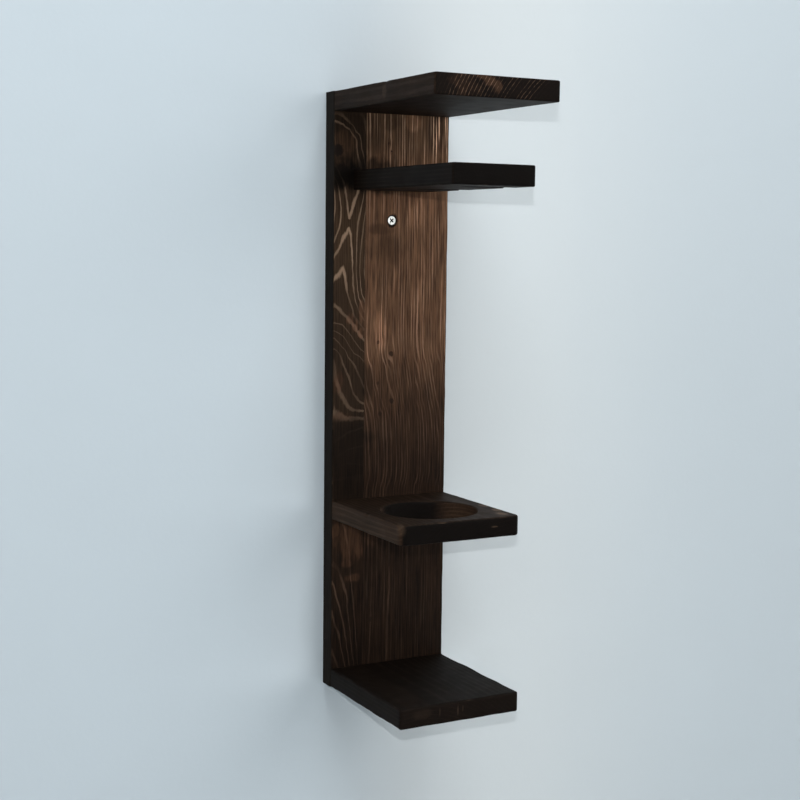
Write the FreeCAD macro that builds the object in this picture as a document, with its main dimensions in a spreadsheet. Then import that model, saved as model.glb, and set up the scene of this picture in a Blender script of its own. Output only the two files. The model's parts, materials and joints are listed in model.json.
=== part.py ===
"""A narrow wall rack for one bottle and two stemmed glasses.

A tall back board carries four shelves, each butted against its front face and
held by two countersunk screws driven from behind. From the bottom up they are
the base that the bottle stands on, the collar with a round hole that keeps it
upright, a narrow shelf with two slots for the glasses' stems, and the top.
The rack hangs on one countersunk screw through the board into the wall.

Frame, in millimetres: the wall is the plane Y = 0 and the rack reaches out
along -Y. X = 0 is the board's middle and Z = 0 the underside of the base.
"""

import FreeCAD, Part
import Sketcher
import math
import os
import re

V = FreeCAD.Vector

SIZES = {
    # boards
    "board_width": 120.0,
    "board_height": 552.0,
    "board_thickness": 18.0,
    "shelf_thickness": 18.0,
    "edge_radius": 1.5,
    # how far each shelf stands out from the face of the back board
    "top_shelf_reach": 184.0,
    "glass_shelf_reach": 180.0,
    "collar_shelf_reach": 136.0,
    "base_shelf_reach": 138.0,
    # free heights between the shelves
    "foot_room": 52.0,
    "bottle_room": 142.0,
    # round hole in the collar
    "bottle_hole_width": 87.0,
    "bottle_hole_margin": 15.5,
    # slots for the stems, open at the right hand edge of their shelf
    "glass_shelf_width": 80.0,
    "slot_width": 16.0,
    "slot_setback": 40.0,
    "slot_spacing": 76.0,
    # countersunk wood screws, one form in two lengths
    "head_width": 8.0,
    "head_rim": 0.3,
    "shank_width": 2.9,
    "thread_width": 4.0,
    "point_length": 5.0,
    "recess_span": 4.4,
    "recess_slot": 0.9,
    "recess_depth": 1.8,
    "shelf_screw_length": 50.0,
    "shelf_screw_thread": 30.0,
    "shelf_screw_inset": 20.0,
    "shelf_head_sink": 0.5,
    "wall_screw_length": 60.0,
    "wall_screw_thread": 36.0,
    "wall_screw_drop": 27.0,
    "wall_head_sink": 0.8,
    # clearances of the screws in the wood
    "shank_hole_width": 5.0,
    "thread_clearance": 0.0,
    "point_clearance": 1.0,
}

# places worked out from the sizes, all as text for the sheet's expressions
HALF_BOARD = "board_width / 2"
HALF_GLASS_SHELF = "glass_shelf_width / 2"
TOP_SHELF_BOTTOM = "board_height - shelf_thickness"
GLASS_SHELF_BOTTOM = "board_height - 2 * shelf_thickness - foot_room"
COLLAR_SHELF_BOTTOM = "shelf_thickness + bottle_room"
BASE_SHELF_BOTTOM = "0"
WALL_SCREW_HEIGHT = f"{GLASS_SHELF_BOTTOM} - wall_screw_drop"
BOTTLE_AXIS = (
    "-(board_thickness + collar_shelf_reach - bottle_hole_margin - bottle_hole_width / 2)"
)
FRONT_SLOT = "-(board_thickness + glass_shelf_reach - slot_setback)"
SLOT_COUNT = 2

# each shelf: its name, its width, its reach and the height of its underside
SHELVES = (
    ("top_shelf", "board_width", "top_shelf_reach", TOP_SHELF_BOTTOM),
    ("glass_shelf", "glass_shelf_width", "glass_shelf_reach", GLASS_SHELF_BOTTOM),
    ("collar_shelf", "board_width", "collar_shelf_reach", COLLAR_SHELF_BOTTOM),
    ("base_shelf", "board_width", "base_shelf_reach", BASE_SHELF_BOTTOM),
)

doc = FreeCAD.newDocument("bottle_rack")
sheet = doc.addObject("Spreadsheet::Sheet", "Sizes")
for row, (word, size) in enumerate(SIZES.items(), start=1):
    sheet.set(f"A{row}", word)
    sheet.set(f"B{row}", str(size))
    sheet.setAlias(f"B{row}", word)
doc.recompute()


def sized(text):
    """The same text with each size's name pointed at its cell in the sheet."""
    return re.sub(r"[a-z_]+", lambda word: f"Sizes.{word.group(0)}", text)


def value(text):
    """The number that such a text gives now."""
    return float(sheet.evalExpression(sized(text)))


def bind(thing, **properties):
    """Ties properties of an object to texts of named sizes."""
    for name, text in properties.items():
        thing.setExpression(name, sized(text))


def new_body(name, height="0"):
    """A body with its label, set at a height of its own."""
    body = doc.addObject("PartDesign::Body", name)
    body.Label = name
    body.setExpression("Placement.Base.z", sized(height))
    return body


def new_sketch(body, name, plane, offset="0"):
    """A sketch on one of the body's own origin planes, or parallel to it."""
    sketch = body.newObject("Sketcher::SketchObject", name)
    planes = {feature.Role: feature for feature in body.Origin.OriginFeatures}
    sketch.AttachmentSupport = [(planes[plane], "")]
    sketch.MapMode = "FlatFace"
    sketch.setExpression("AttachmentOffset.Base.z", sized(offset))
    return sketch


def pin_point(sketch, geometry, point, across, up):
    """Fixes one point of a sketch at named distances from its origin."""
    origin_geometry, upright_axis = -1, -2
    for kind, axis, text in (("DistanceX", upright_axis, across), ("DistanceY", origin_geometry, up)):
        if text == "0":
            sketch.addConstraint(Sketcher.Constraint("PointOnObject", geometry, point, axis))
            continue
        constraint = sketch.addConstraint(
            Sketcher.Constraint(kind, origin_geometry, 1, geometry, point, value(text))
        )
        sketch.setExpression(f"Constraints[{constraint}]", sized(text))


def add_outline(sketch, corners):
    """A closed outline. A corner with a third entry starts a half circle that
    runs anticlockwise to the next corner, about a centre on the upright axis."""
    places = [V(value(corner[0]), value(corner[1]), 0) for corner in corners]
    count = len(corners)
    edges = []
    for i, corner in enumerate(corners):
        start, end = places[i], places[(i + 1) % count]
        if len(corner) == 3:
            circle = Part.Circle((start + end) / 2, V(0, 0, 1), (start - end).Length / 2)
            edge = Part.ArcOfCircle(circle, math.pi / 2, 3 * math.pi / 2)
        else:
            edge = Part.LineSegment(start, end)
        edges.append(sketch.addGeometry(edge))
    for i, corner in enumerate(corners):
        sketch.addConstraint(
            Sketcher.Constraint("Coincident", edges[i - 1], 2, edges[i], 1)
        )
        pin_point(sketch, edges[i], 1, corner[0], corner[1])
        if len(corner) == 3:
            sketch.addConstraint(Sketcher.Constraint("PointOnObject", edges[i], 3, -2))


def add_circle(sketch, across, up, width):
    """A circle with its centre and its width tied to named sizes."""
    circle = Part.Circle(V(value(across), value(up), 0), V(0, 0, 1), value(width) / 2)
    geometry = sketch.addGeometry(circle)
    pin_point(sketch, geometry, 3, across, up)
    constraint = sketch.addConstraint(
        Sketcher.Constraint("Diameter", geometry, value(width))
    )
    sketch.setExpression(f"Constraints[{constraint}]", sized(width))


def rectangle(left, right, low, high):
    """The corners of an upright rectangle, anticlockwise from the low left."""
    return [(left, low), (right, low), (right, high), (left, high)]


def pad(body, sketch, name, length):
    """A pad of a sketch along its normal."""
    feature = body.newObject("PartDesign::Pad", name)
    feature.Profile = sketch
    bind(feature, Length=length)
    doc.recompute()
    return feature


def drill(body, sketch, name, width, head_sink=None, depth=None, away=False):
    """Round holes at a sketch's circles: through, or to a depth with a flat end,
    and with a 90 degree countersink where the screw's head goes in."""
    doc.recompute()
    before = body.Shape.Volume
    hole = body.newObject("PartDesign::Hole", name)
    hole.Profile = sketch
    hole.Reversed = away
    hole.ThreadType = 0
    bind(hole, Diameter=width)
    hole.DepthType = "ThroughAll" if depth is None else "Dimension"
    if depth is not None:
        hole.DrillPoint = "Flat"
        bind(hole, Depth=depth)
    if head_sink is not None:
        hole.HoleCutType = "Countersink"
        hole.HoleCutCustomValues = True
        hole.HoleCutCountersinkAngle = 90.0
        bind(hole, HoleCutDiameter=f"head_width + 2 * (head_rim + {head_sink})")
    doc.recompute()
    if body.Shape.Volume >= before:
        raise RuntimeError(f"{name} cuts nothing")
    return hole


def round_edges(body, feature, name, is_kept_sharp):
    """Rounds every edge of a feature but those that a test keeps sharp."""
    picked = [
        f"Edge{number}"
        for number, edge in enumerate(feature.Shape.Edges, start=1)
        if not is_kept_sharp(edge)
    ]
    fillet = body.newObject("PartDesign::Fillet", name)
    fillet.Base = (feature, picked)
    bind(fillet, Radius="edge_radius")
    doc.recompute()
    return fillet


def lies_at(edge, depth):
    """Whether an edge lies in the plane at a given distance out from the wall."""
    box = edge.BoundBox
    tolerance = 1e-4
    return abs(box.YMin + depth) < tolerance and abs(box.YMax + depth) < tolerance


def is_upright(edge):
    """Whether an edge is a straight one that runs up and down."""
    box = edge.BoundBox
    return box.ZLength > max(box.XLength, box.YLength)


def screw_places(width):
    """The two places across a shelf where its screws go in."""
    half_spacing = f"({width} / 2 - shelf_screw_inset)"
    return f"-{half_spacing}", half_spacing


def back_board():
    """The board against the wall, with its two long front edges eased and the
    screws' countersunk holes: two behind each shelf, one through to the wall."""
    body = new_body("back_board")
    face = new_sketch(body, "board_face", "XZ_Plane")
    add_outline(face, rectangle(f"-{HALF_BOARD}", HALF_BOARD, "0", "board_height"))
    block = pad(body, face, "board_block", "board_thickness")
    depth = SIZES["board_thickness"]
    round_edges(
        body, block, "board_eased_edges",
        lambda edge: not (lies_at(edge, depth) and is_upright(edge)),
    )
    rear = new_sketch(body, "shelf_screw_centres", "XZ_Plane")
    for _, width, _, bottom in SHELVES:
        for place in screw_places(width):
            add_circle(rear, place, f"{bottom} + shelf_thickness / 2", "shank_hole_width")
    drill(
        body, rear, "shelf_screw_holes", "shank_hole_width", head_sink="shelf_head_sink",
        away=True,
    )
    front = new_sketch(body, "wall_screw_centre", "XZ_Plane", "board_thickness")
    add_circle(front, "0", WALL_SCREW_HEIGHT, "shank_hole_width")
    drill(body, front, "wall_screw_hole", "shank_hole_width", head_sink="wall_head_sink")
    return body


def shelf(name, width, reach, bottom, outline=None, hole=None):
    """A shelf of the board stock, square where it meets the back board and eased
    on every other edge, with two blind bores in its end for the screws."""
    body = new_body(name, bottom)
    plan = new_sketch(body, f"{name}_plan", "XY_Plane")
    front = f"-(board_thickness + {reach})"
    half = f"{width} / 2"
    add_outline(plan, outline or rectangle(f"-{half}", half, front, "-board_thickness"))
    if hole:
        add_circle(plan, "0", *hole)
    block = pad(body, plan, f"{name}_block", "shelf_thickness")
    depth = SIZES["board_thickness"]
    round_edges(body, block, f"{name}_eased_edges", lambda edge: lies_at(edge, depth))
    end = new_sketch(body, f"{name}_bore_centres", "XZ_Plane", "board_thickness")
    for place in screw_places(width):
        add_circle(end, place, "shelf_thickness / 2", "thread_width")
    drill(
        body, end, f"{name}_bores", "thread_width + 2 * thread_clearance", away=True,
        depth="shelf_screw_length + shelf_head_sink + point_clearance - board_thickness",
    )
    return body


def slotted_outline():
    """The plan of the glass shelf: slots with half round ends on the middle line,
    open at the right hand edge."""
    corners = [(f"-{HALF_GLASS_SHELF}", "-board_thickness")]
    corners.append((HALF_GLASS_SHELF, "-board_thickness"))
    for number in reversed(range(SLOT_COUNT)):
        rear_side = f"{FRONT_SLOT} + {number} * slot_spacing + slot_width / 2"
        front_side = f"{FRONT_SLOT} + {number} * slot_spacing - slot_width / 2"
        corners.append((HALF_GLASS_SHELF, rear_side))
        corners.append(("0", rear_side, "half circle"))
        corners.append(("0", front_side))
        corners.append((HALF_GLASS_SHELF, front_side))
    front = "-(board_thickness + glass_shelf_reach)"
    corners.append((HALF_GLASS_SHELF, front))
    corners.append((f"-{HALF_GLASS_SHELF}", front))
    return corners


def screw_profile(top, way, length, thread):
    """Half the section of a countersunk screw, as places along and out from its
    axis, from the middle of the head's top at the given place."""
    def along(distance):
        return f"{top} {way} ({distance})"

    return [
        (along("0"), "0"),
        (along("0"), "head_width / 2"),
        (along("head_rim"), "head_width / 2"),
        (along("head_rim + (head_width - shank_width) / 2"), "shank_width / 2"),
        (along(f"{length} - {thread}"), "shank_width / 2"),
        (along(f"{length} - {thread}"), "thread_width / 2"),
        (along(f"{length} - point_length"), "thread_width / 2"),
        (along(length), "0"),
    ]


def screws(name, height, across, top, way, length, thread):
    """One or more equal screws side by side, as separate solids."""
    body = new_body(name, height)
    body.AllowCompound = True
    inwards = way == "+"
    parts = []
    for number, place in enumerate(across):
        half = new_sketch(body, f"{name}_section_{number}", "YZ_Plane", place)
        add_outline(half, screw_profile(top, way, length, thread))
        turned = body.newObject("PartDesign::Revolution", f"{name}_turned_{number}")
        turned.Profile = half
        turned.ReferenceAxis = (half, ["H_Axis"])
        turned.Angle = 360.0
        doc.recompute()
        parts.append(turned)
    middle = new_sketch(body, f"{name}_recess", "XZ_Plane", f"-({top})")
    for place in across:
        near, far = "recess_slot / 2", "recess_span / 2"
        add_outline(middle, cross_corners(place, near, far))
    recess = body.newObject("PartDesign::Pocket", f"{name}_recesses")
    recess.Profile = middle
    recess.Reversed = not inwards
    bind(recess, Length="recess_depth")
    before = body.Shape.Volume
    doc.recompute()
    if body.Shape.Volume >= before:
        raise RuntimeError(f"the recess of {name} cuts nothing")
    return body


def cross_corners(place, near, far):
    """The twelve corners of a cross about a place on the level axis."""
    quarter = ((near, far), (near, near), (far, near))
    corners = []
    for side, up, order in (("+", "+", 1), ("+", "-", -1), ("-", "-", 1), ("-", "+", -1)):
        for across, height in quarter[::order]:
            corners.append((f"{place} {side} {across}", f"{up}{height}".lstrip("+")))
    return corners[::-1]


back_board()
for name, width, reach, bottom in SHELVES:
    shelf(
        name, width, reach, bottom,
        outline=slotted_outline() if name == "glass_shelf" else None,
        hole=(BOTTLE_AXIS, "bottle_hole_width") if name == "collar_shelf" else None,
    )
    screws(
        f"{name}_screws", f"{bottom} + shelf_thickness / 2", screw_places(width),
        "-shelf_head_sink", "-", "shelf_screw_length", "shelf_screw_thread",
    )
screws(
    "wall_screw", WALL_SCREW_HEIGHT, ("0",),
    "wall_head_sink - board_thickness", "+", "wall_screw_length", "wall_screw_thread",
)
doc.recompute()

for thing in doc.Objects:
    if "Invalid" in thing.State or "Error" in thing.State:
        raise RuntimeError(f"{thing.Label} failed: {thing.State}")
bodies = [thing for thing in doc.Objects if thing.TypeId == "PartDesign::Body"]
for body in bodies:
    if body.Shape.isNull() or not body.Shape.isValid():
        raise RuntimeError(f"{body.Label} has no valid shape")

os.makedirs("parts", exist_ok=True)
for body in bodies:
    body.Shape.exportStep(f"parts/{body.Label}.step")
    box = body.Shape.BoundBox
    print(
        f"{body.Label}: {len(body.Shape.Solids)} solid(s), {body.Shape.Volume:.1f} mm3,"
        f" X {box.XMin:.2f} to {box.XMax:.2f}, Y {box.YMin:.2f} to {box.YMax:.2f},"
        f" Z {box.ZMin:.2f} to {box.ZMax:.2f}"
    )
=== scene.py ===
"""Dresses a handmade rack of stained pine: a tall back board that carries four shelves.

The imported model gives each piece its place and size. This script makes the boards and the screws
as detailed meshes, gives them their finishes, and sets the backdrop, the floor, the lamps and the
camera. Lengths are millimetres unless a name says otherwise; meshes are in metres when finished.
"""

from __future__ import annotations

import json
import logging
import math
from dataclasses import dataclass, field
from enum import Enum
from typing import Callable, Sequence, Union

import bmesh
import bpy
import numpy as np
from mathutils import Matrix, Vector, noise
from mathutils.geometry import delaunay_2d_cdt

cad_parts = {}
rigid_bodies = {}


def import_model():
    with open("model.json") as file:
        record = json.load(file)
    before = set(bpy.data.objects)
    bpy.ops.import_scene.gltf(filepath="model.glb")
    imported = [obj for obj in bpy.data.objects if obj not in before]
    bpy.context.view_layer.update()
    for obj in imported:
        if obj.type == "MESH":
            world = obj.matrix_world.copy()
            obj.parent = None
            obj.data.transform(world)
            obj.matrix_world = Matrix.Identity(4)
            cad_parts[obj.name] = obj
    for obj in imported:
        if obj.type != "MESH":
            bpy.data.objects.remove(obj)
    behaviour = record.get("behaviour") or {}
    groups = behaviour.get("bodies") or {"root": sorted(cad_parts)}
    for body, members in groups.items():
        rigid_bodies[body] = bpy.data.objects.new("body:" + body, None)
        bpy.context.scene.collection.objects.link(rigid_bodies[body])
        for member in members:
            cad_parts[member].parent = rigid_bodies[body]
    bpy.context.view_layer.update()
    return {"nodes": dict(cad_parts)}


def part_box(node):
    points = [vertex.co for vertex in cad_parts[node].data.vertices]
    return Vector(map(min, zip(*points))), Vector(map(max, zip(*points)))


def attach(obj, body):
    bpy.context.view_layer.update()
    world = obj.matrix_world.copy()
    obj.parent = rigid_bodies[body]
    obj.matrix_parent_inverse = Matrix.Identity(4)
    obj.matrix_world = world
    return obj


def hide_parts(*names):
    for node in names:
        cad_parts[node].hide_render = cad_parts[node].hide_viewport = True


LOG = logging.getLogger("rack")
BODY = "root"
MM = 0.001
# the faces that show most, along Y: the back board's front, the top shelf's end and the base's
BOARD_FACE = -18.0
TOP_END = -202.0
BASE_END = -156.0
# how deep a tone on a face reaches into the wood
SKIN = 9.0

Colour = tuple[float, float, float]


def tone(red: int, green: int, blue: int) -> Colour:
    """A colour as it shows on a screen, turned into the linear colour that nodes take.

    Args:
        red: Screen value from 0 to 255.
        green: Screen value from 0 to 255.
        blue: Screen value from 0 to 255.

    Returns:
        Linear red, green and blue.
    """
    offset, power, straight_part, straight_slope = 0.055, 2.4, 10, 12.92
    return tuple(
        ((c / 255 + offset) / (1 + offset)) ** power if c > straight_part else c / 255 / straight_slope
        for c in (red, green, blue)
    )


class Signal:
    """A number on its way through a material's nodes. Arithmetic on it adds Math nodes."""

    def __init__(self, graph: NodeGraph, socket: bpy.types.NodeSocket) -> None:
        """Keeps the graph that the number runs in and the socket it comes from."""
        self.graph = graph
        self.socket = socket

    def __add__(self, other: Number) -> Signal:
        """Sum."""
        return self.graph.math("ADD", self, other)

    def __radd__(self, other: Number) -> Signal:
        """Sum with a plain number first."""
        return self.graph.math("ADD", other, self)

    def __sub__(self, other: Number) -> Signal:
        """Difference."""
        return self.graph.math("SUBTRACT", self, other)

    def __rsub__(self, other: Number) -> Signal:
        """Difference from a plain number."""
        return self.graph.math("SUBTRACT", other, self)

    def __mul__(self, other: Number) -> Signal:
        """Product."""
        return self.graph.math("MULTIPLY", self, other)

    def __rmul__(self, other: Number) -> Signal:
        """Product with a plain number first."""
        return self.graph.math("MULTIPLY", other, self)

    def __truediv__(self, other: Number) -> Signal:
        """Quotient."""
        return self.graph.math("DIVIDE", self, other)

    def root(self) -> Signal:
        """Square root."""
        return self.graph.math("SQRT", self)

    def size(self) -> Signal:
        """The number without its sign."""
        return self.graph.math("ABSOLUTE", self)

    def fraction(self) -> Signal:
        """What is left over the last whole number."""
        return self.graph.math("FRACT", self)

    def whole(self) -> Signal:
        """The last whole number."""
        return self.graph.math("FLOOR", self)

    def least(self, other: Number) -> Signal:
        """The smaller of two."""
        return self.graph.math("MINIMUM", self, other)

    def most(self, other: Number) -> Signal:
        """The larger of two."""
        return self.graph.math("MAXIMUM", self, other)

    def offset(self, reach: float) -> Signal:
        """Noise from 0 to 1 as a shift to either side, by half of the reach at most."""
        return (self - 0.5) * reach

    def swing(self, reach: float) -> Signal:
        """Noise from 0 to 1 as a factor round 1, as far below it as above."""
        return self * (2 * reach) + (1 - reach)

    def between(self, low: float, high: float) -> Signal:
        """Rises smoothly from 0 at low to 1 at high, or falls where low is the larger.

        Args:
            low: Where the result is 0.
            high: Where the result is 1.

        Returns:
            A number from 0 to 1.
        """
        if low > high:
            return 1.0 - self.between(high, low)
        node = self.graph.node("ShaderNodeMapRange", interpolation_type="SMOOTHSTEP")
        self.graph.put(node.inputs["Value"], self)
        node.inputs["From Min"].default_value = low
        node.inputs["From Max"].default_value = high
        return Signal(self.graph, node.outputs["Result"])


Number = Union[float, Signal]
Point = tuple[Number, Number, Number]


class NodeGraph:
    """Builds the nodes of one material."""

    def __init__(self, name: str) -> None:
        """Starts an empty material.

        Args:
            name: The material's name.
        """
        self.material = bpy.data.materials.new(name)
        self.material.use_nodes = True
        self.tree = self.material.node_tree
        self.tree.nodes.clear()

    def node(self, kind: str, **settings: object) -> bpy.types.Node:
        """Adds a node.

        Args:
            kind: Blender's type name of the node.
            **settings: Properties of the node and their values.

        Returns:
            The new node.
        """
        made = self.tree.nodes.new(kind)
        for name, value in settings.items():
            setattr(made, name, value)
        return made

    def put(self, socket: bpy.types.NodeSocket, value: Union[Number, Colour]) -> None:
        """Links a signal to a socket, or sets the socket where the value is a plain one.

        Args:
            socket: The input.
            value: A signal, a number or a colour.
        """
        if isinstance(value, Signal):
            self.tree.links.new(value.socket, socket)
        elif isinstance(value, tuple):
            socket.default_value = (*value, 1.0) if len(socket.default_value) == 4 else value
        else:
            socket.default_value = value

    def math(self, operation: str, first: Number, second: Number = 0.0) -> Signal:
        """Adds a Math node.

        Args:
            operation: The node's operation.
            first: Its first number.
            second: Its second number.

        Returns:
            The node's result.
        """
        node = self.node("ShaderNodeMath", operation=operation)
        self.put(node.inputs[0], first)
        self.put(node.inputs[1], second)
        return Signal(self, node.outputs[0])

    def millimetres(self) -> Point:
        """Object coordinates in millimetres.

        Returns:
            The three coordinates.
        """
        place = self.node("ShaderNodeTexCoord")
        scale = self.node("ShaderNodeVectorMath", operation="SCALE")
        self.tree.links.new(place.outputs["Object"], scale.inputs[0])
        scale.inputs["Scale"].default_value = 1 / MM
        parts = self.node("ShaderNodeSeparateXYZ")
        self.tree.links.new(scale.outputs[0], parts.inputs[0])
        return tuple(Signal(self, parts.outputs[axis]) for axis in "XYZ")

    def facing(self) -> Point:
        """The surface's direction in the object's own axes.

        Returns:
            The three parts of the normal.
        """
        place = self.node("ShaderNodeTexCoord")
        parts = self.node("ShaderNodeSeparateXYZ")
        self.tree.links.new(place.outputs["Normal"], parts.inputs[0])
        return tuple(Signal(self, parts.outputs[axis]) for axis in "XYZ")

    def noise(
        self, point: Point, per_mm: Sequence[float], seed: float = 0.0, detail: float = 2.0,
        roughness: float = 0.5,
    ) -> Signal:
        """Smooth noise from 0 to 1.

        Args:
            point: Where it is read.
            per_mm: Features for each millimetre along each axis.
            seed: Shifts the pattern.
            detail: How many finer layers it has.
            roughness: How strong the finer layers are.

        Returns:
            The noise, with a mean of about a half.
        """
        combine = self.node("ShaderNodeCombineXYZ")
        for socket, part, rate in zip(combine.inputs, point, per_mm):
            self.put(socket, part * rate + seed)
        node = self.node("ShaderNodeTexNoise")
        self.tree.links.new(combine.outputs[0], node.inputs["Vector"])
        node.inputs["Scale"].default_value = 1.0
        node.inputs["Detail"].default_value = detail
        node.inputs["Roughness"].default_value = roughness
        return Signal(self, node.outputs["Fac"])

    def course(self, along: Signal, points: Sequence[tuple[float, float]]) -> Signal:
        """A smooth course through a few points, for a value that changes along a board.

        Args:
            along: The place along the board.
            points: Places in rising order, each with its value.

        Returns:
            The value at the place.
        """
        places = [place for place, _ in points]
        values = [value for _, value in points]
        start, reach = places[0], places[-1] - places[0]
        lowest, rise = min(values), max(values) - min(values)
        node = self.node("ShaderNodeFloatCurve")
        self.put(node.inputs["Value"], (along - start) * (1 / reach))
        line = node.mapping.curves[0]
        while len(line.points) < len(points):
            line.points.new(0.5, 0.5)
        for knob, (place, value) in zip(line.points, points):
            knob.location = ((place - start) / reach, (value - lowest) / rise)
            knob.handle_type = "AUTO_CLAMPED"
        node.mapping.update()
        return Signal(self, node.outputs[0]) * rise + lowest

    def blend(self, share: Number, first: Union[Signal, Colour], second: Union[Signal, Colour]) -> Signal:
        """Goes from one colour to another.

        Args:
            share: How much of the second there is.
            first: The colour at 0.
            second: The colour at 1.

        Returns:
            The mixed colour.
        """
        node = self.node("ShaderNodeMix", data_type="RGBA")
        self.put(node.inputs[0], share)
        self.put(node.inputs[6], first)
        self.put(node.inputs[7], second)
        return Signal(self, node.outputs[2])

    def shade(self, colour: Signal, amount: Number) -> Signal:
        """Makes a colour lighter or darker.

        Args:
            colour: The colour.
            amount: What it is multiplied by.

        Returns:
            The changed colour.
        """
        node = self.node("ShaderNodeVectorMath", operation="SCALE")
        self.put(node.inputs[0], colour)
        self.put(node.inputs["Scale"], amount)
        return Signal(self, node.outputs[0])

    def patches(self, place: Point, patches: Sequence[Patch], rough: Signal) -> Number:
        """Where a few patches lie, with ragged edges.

        Args:
            place: The coordinates in millimetres.
            patches: The patches.
            rough: Noise from 0 to 1 that frays their edges.

        Returns:
            Their strength at the place, from 0 to 1.
        """
        fraying, solid_share = 1.4, 0.45
        total: Number = 0.0
        for patch in patches:
            parts = [
                (part - middle) * (1 / reach)
                for part, middle, reach in zip(place, patch.middle, patch.reach)
            ]
            far = (parts[0] * parts[0] + parts[1] * parts[1] + parts[2] * parts[2]).root()
            here = (far + rough.offset(fraying)).between(1.0, solid_share) * patch.strength
            total = here if isinstance(total, float) else total.most(here)
        return total

    def relief(self, height: Signal, depth_mm: float, strength: float) -> Signal:
        """Turns a height into a bumped normal.

        Args:
            height: Height from 0 to 1.
            depth_mm: What a height of 1 stands for.
            strength: How much of the bump shows.

        Returns:
            The normal.
        """
        node = self.node("ShaderNodeBump")
        node.inputs["Strength"].default_value = strength
        node.inputs["Distance"].default_value = depth_mm * MM
        self.put(node.inputs["Height"], height)
        return Signal(self, node.outputs["Normal"])

    def finish(self, shader: bpy.types.NodeSocket) -> bpy.types.Material:
        """Ends the graph with a shader.

        Args:
            shader: The shader's output.

        Returns:
            The finished material.
        """
        output = self.node("ShaderNodeOutputMaterial")
        self.tree.links.new(shader, output.inputs["Surface"])
        return self.material


@dataclass(frozen=True)
class Box:
    """A piece's lowest and highest corner, in millimetres."""

    low: Vector
    high: Vector

    @classmethod
    def of_node(cls, node: str) -> Box:
        """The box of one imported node.

        Args:
            node: The node's name.

        Returns:
            Its box.
        """
        low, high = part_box(node)
        return cls(low / MM, high / MM)

    @property
    def middle(self) -> Vector:
        """The box's middle."""
        return (self.low + self.high) / 2

    @property
    def size(self) -> Vector:
        """How far the box reaches along each axis."""
        return self.high - self.low


@dataclass(frozen=True)
class Patch:
    """A local change of tone, an ellipsoid: its middle, its reach along each axis and its strength."""

    middle: tuple[float, float, float]
    reach: tuple[float, float, float]
    strength: float = 1.0


def tint(x: float, z: float, across: float, up: float, strength: float, face: float = BOARD_FACE) -> Patch:
    """A patch on an upright face, from its middle, its reach across and up, and its strength."""
    return Patch((x, face, z), (across, SKIN, up), strength)


@dataclass(frozen=True)
class Knot:
    """A branch cut across on the back board's face: its place, its radius and how dark it is."""

    x: float
    z: float
    radius: float
    dark: float = 1.0


@dataclass(frozen=True)
class Grain:
    """What a board's figure gives its finish: ring count, tones and local changes, as signals."""

    rings: Signal
    half_width: Number
    fibre: Signal
    level: Signal
    pale_level: Signal
    contrast: Signal
    redness: Signal
    # knots, with the painted shade in the back board's countersink
    knots: Number


@dataclass(frozen=True)
class StaveGrain:
    """One stave's grain: ring count, half a line's width, tone, how clear its lines are, and warmth."""

    rings: Signal
    half_width: Number
    level: Signal
    contrast: Signal
    redness: Signal


class Figure:
    """A board's figure. Each kind says how the year rings and the fibres run in it."""

    def grain(self, graph: NodeGraph, place: Point) -> Grain:
        """Works out the grain at a place.

        Args:
            graph: The material's graph.
            place: The coordinates in millimetres.

        Returns:
            The grain there.
        """
        raise NotImplementedError


@dataclass(frozen=True)
class ShelfFigure(Figure):
    """A shelf cut along a log: rings round a pith that lies outside the board, fibres along Y."""

    pith_x: float
    pith_z: float
    ring_width: float = 3.6
    seed: float = 0.0
    # tones of the sides, the sawn ends and the faces: the ends take more stain, and the levels also hold
    # painted light and shade, lighter sides and darker tops under the shelves above
    side_level: float = 0.2
    end_level: float = 0.1
    face_level: float = 0.2
    wander: float = 3.0
    side_contrast: float = 0.12
    # how much of each ring shows on the sawn end, by ring number
    end_contrast: tuple[tuple[float, float], ...] = ((0, 0.12), (80, 0.13))
    end_brightness: float = 0.0
    # half of a line's width in rings, and how much of that the sawn ends take off
    half_width: float = 0.24
    end_narrowing: float = 0.14
    # warm brown parts, how much lighter they are, and how cloudy the stain is
    warm_parts: tuple[Patch, ...] = ()
    warm_lift: float = 0.5
    cloudiness: float = 0.38

    def grain(self, graph: NodeGraph, place: Point) -> Grain:
        """Works out the grain at a place.

        Args:
            graph: The material's graph.
            place: The coordinates in millimetres.

        Returns:
            The grain there.
        """
        x, y, z = place
        sway = graph.noise(place, (0.02, 0.006, 0.02), self.seed + 3.1)
        ripple = graph.noise(place, (0.11, 0.02, 0.11), self.seed + 8.7)
        across = x + sway.offset(4 * self.wander) + ripple.offset(1.6)
        from_x = across - self.pith_x
        from_z = z - self.pith_z
        radius = (from_x * from_x + from_z * from_z).root()
        fibre = graph.noise(place, (0.75, 0.035, 0.75), self.seed + 1.7, detail=3.0, roughness=0.65)
        cloud = graph.noise(place, (0.03, 0.016, 0.03), self.seed + 5.3)
        normal = graph.facing()
        ends = normal[1].between(-0.55, -0.9)
        sides = normal[0].size().between(0.55, 0.9)
        warm = graph.patches(place, self.warm_parts, ripple)
        # a tone for each way the surface looks, with painted light and shade in it
        level = ends * (self.end_level - self.face_level) + sides * (self.side_level - self.face_level)
        level = (level + self.face_level + warm * self.warm_lift) * cloud.swing(self.cloudiness)
        rings = radius / self.ring_width
        strokes = graph.noise(place, (0.5, 0.02, 0.15), self.seed + 14.0).between(0.36, 0.6)
        shown = graph.course(rings, self.end_contrast) * (0.25 + strokes * 1.2)
        return Grain(
            rings=rings,
            half_width=self.half_width - ends * self.end_narrowing,
            fibre=fibre * 0.35 + 0.32,
            level=level,
            contrast=(1.0 - ends) * self.side_contrast + ends * shown,
            pale_level=level + ends * self.end_brightness,
            redness=graph.noise(place, (0.025, 0.01, 0.025), self.seed + 9.9) * 0.6 + 0.25 + warm * 0.3,
            knots=0.0,
        )


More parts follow.
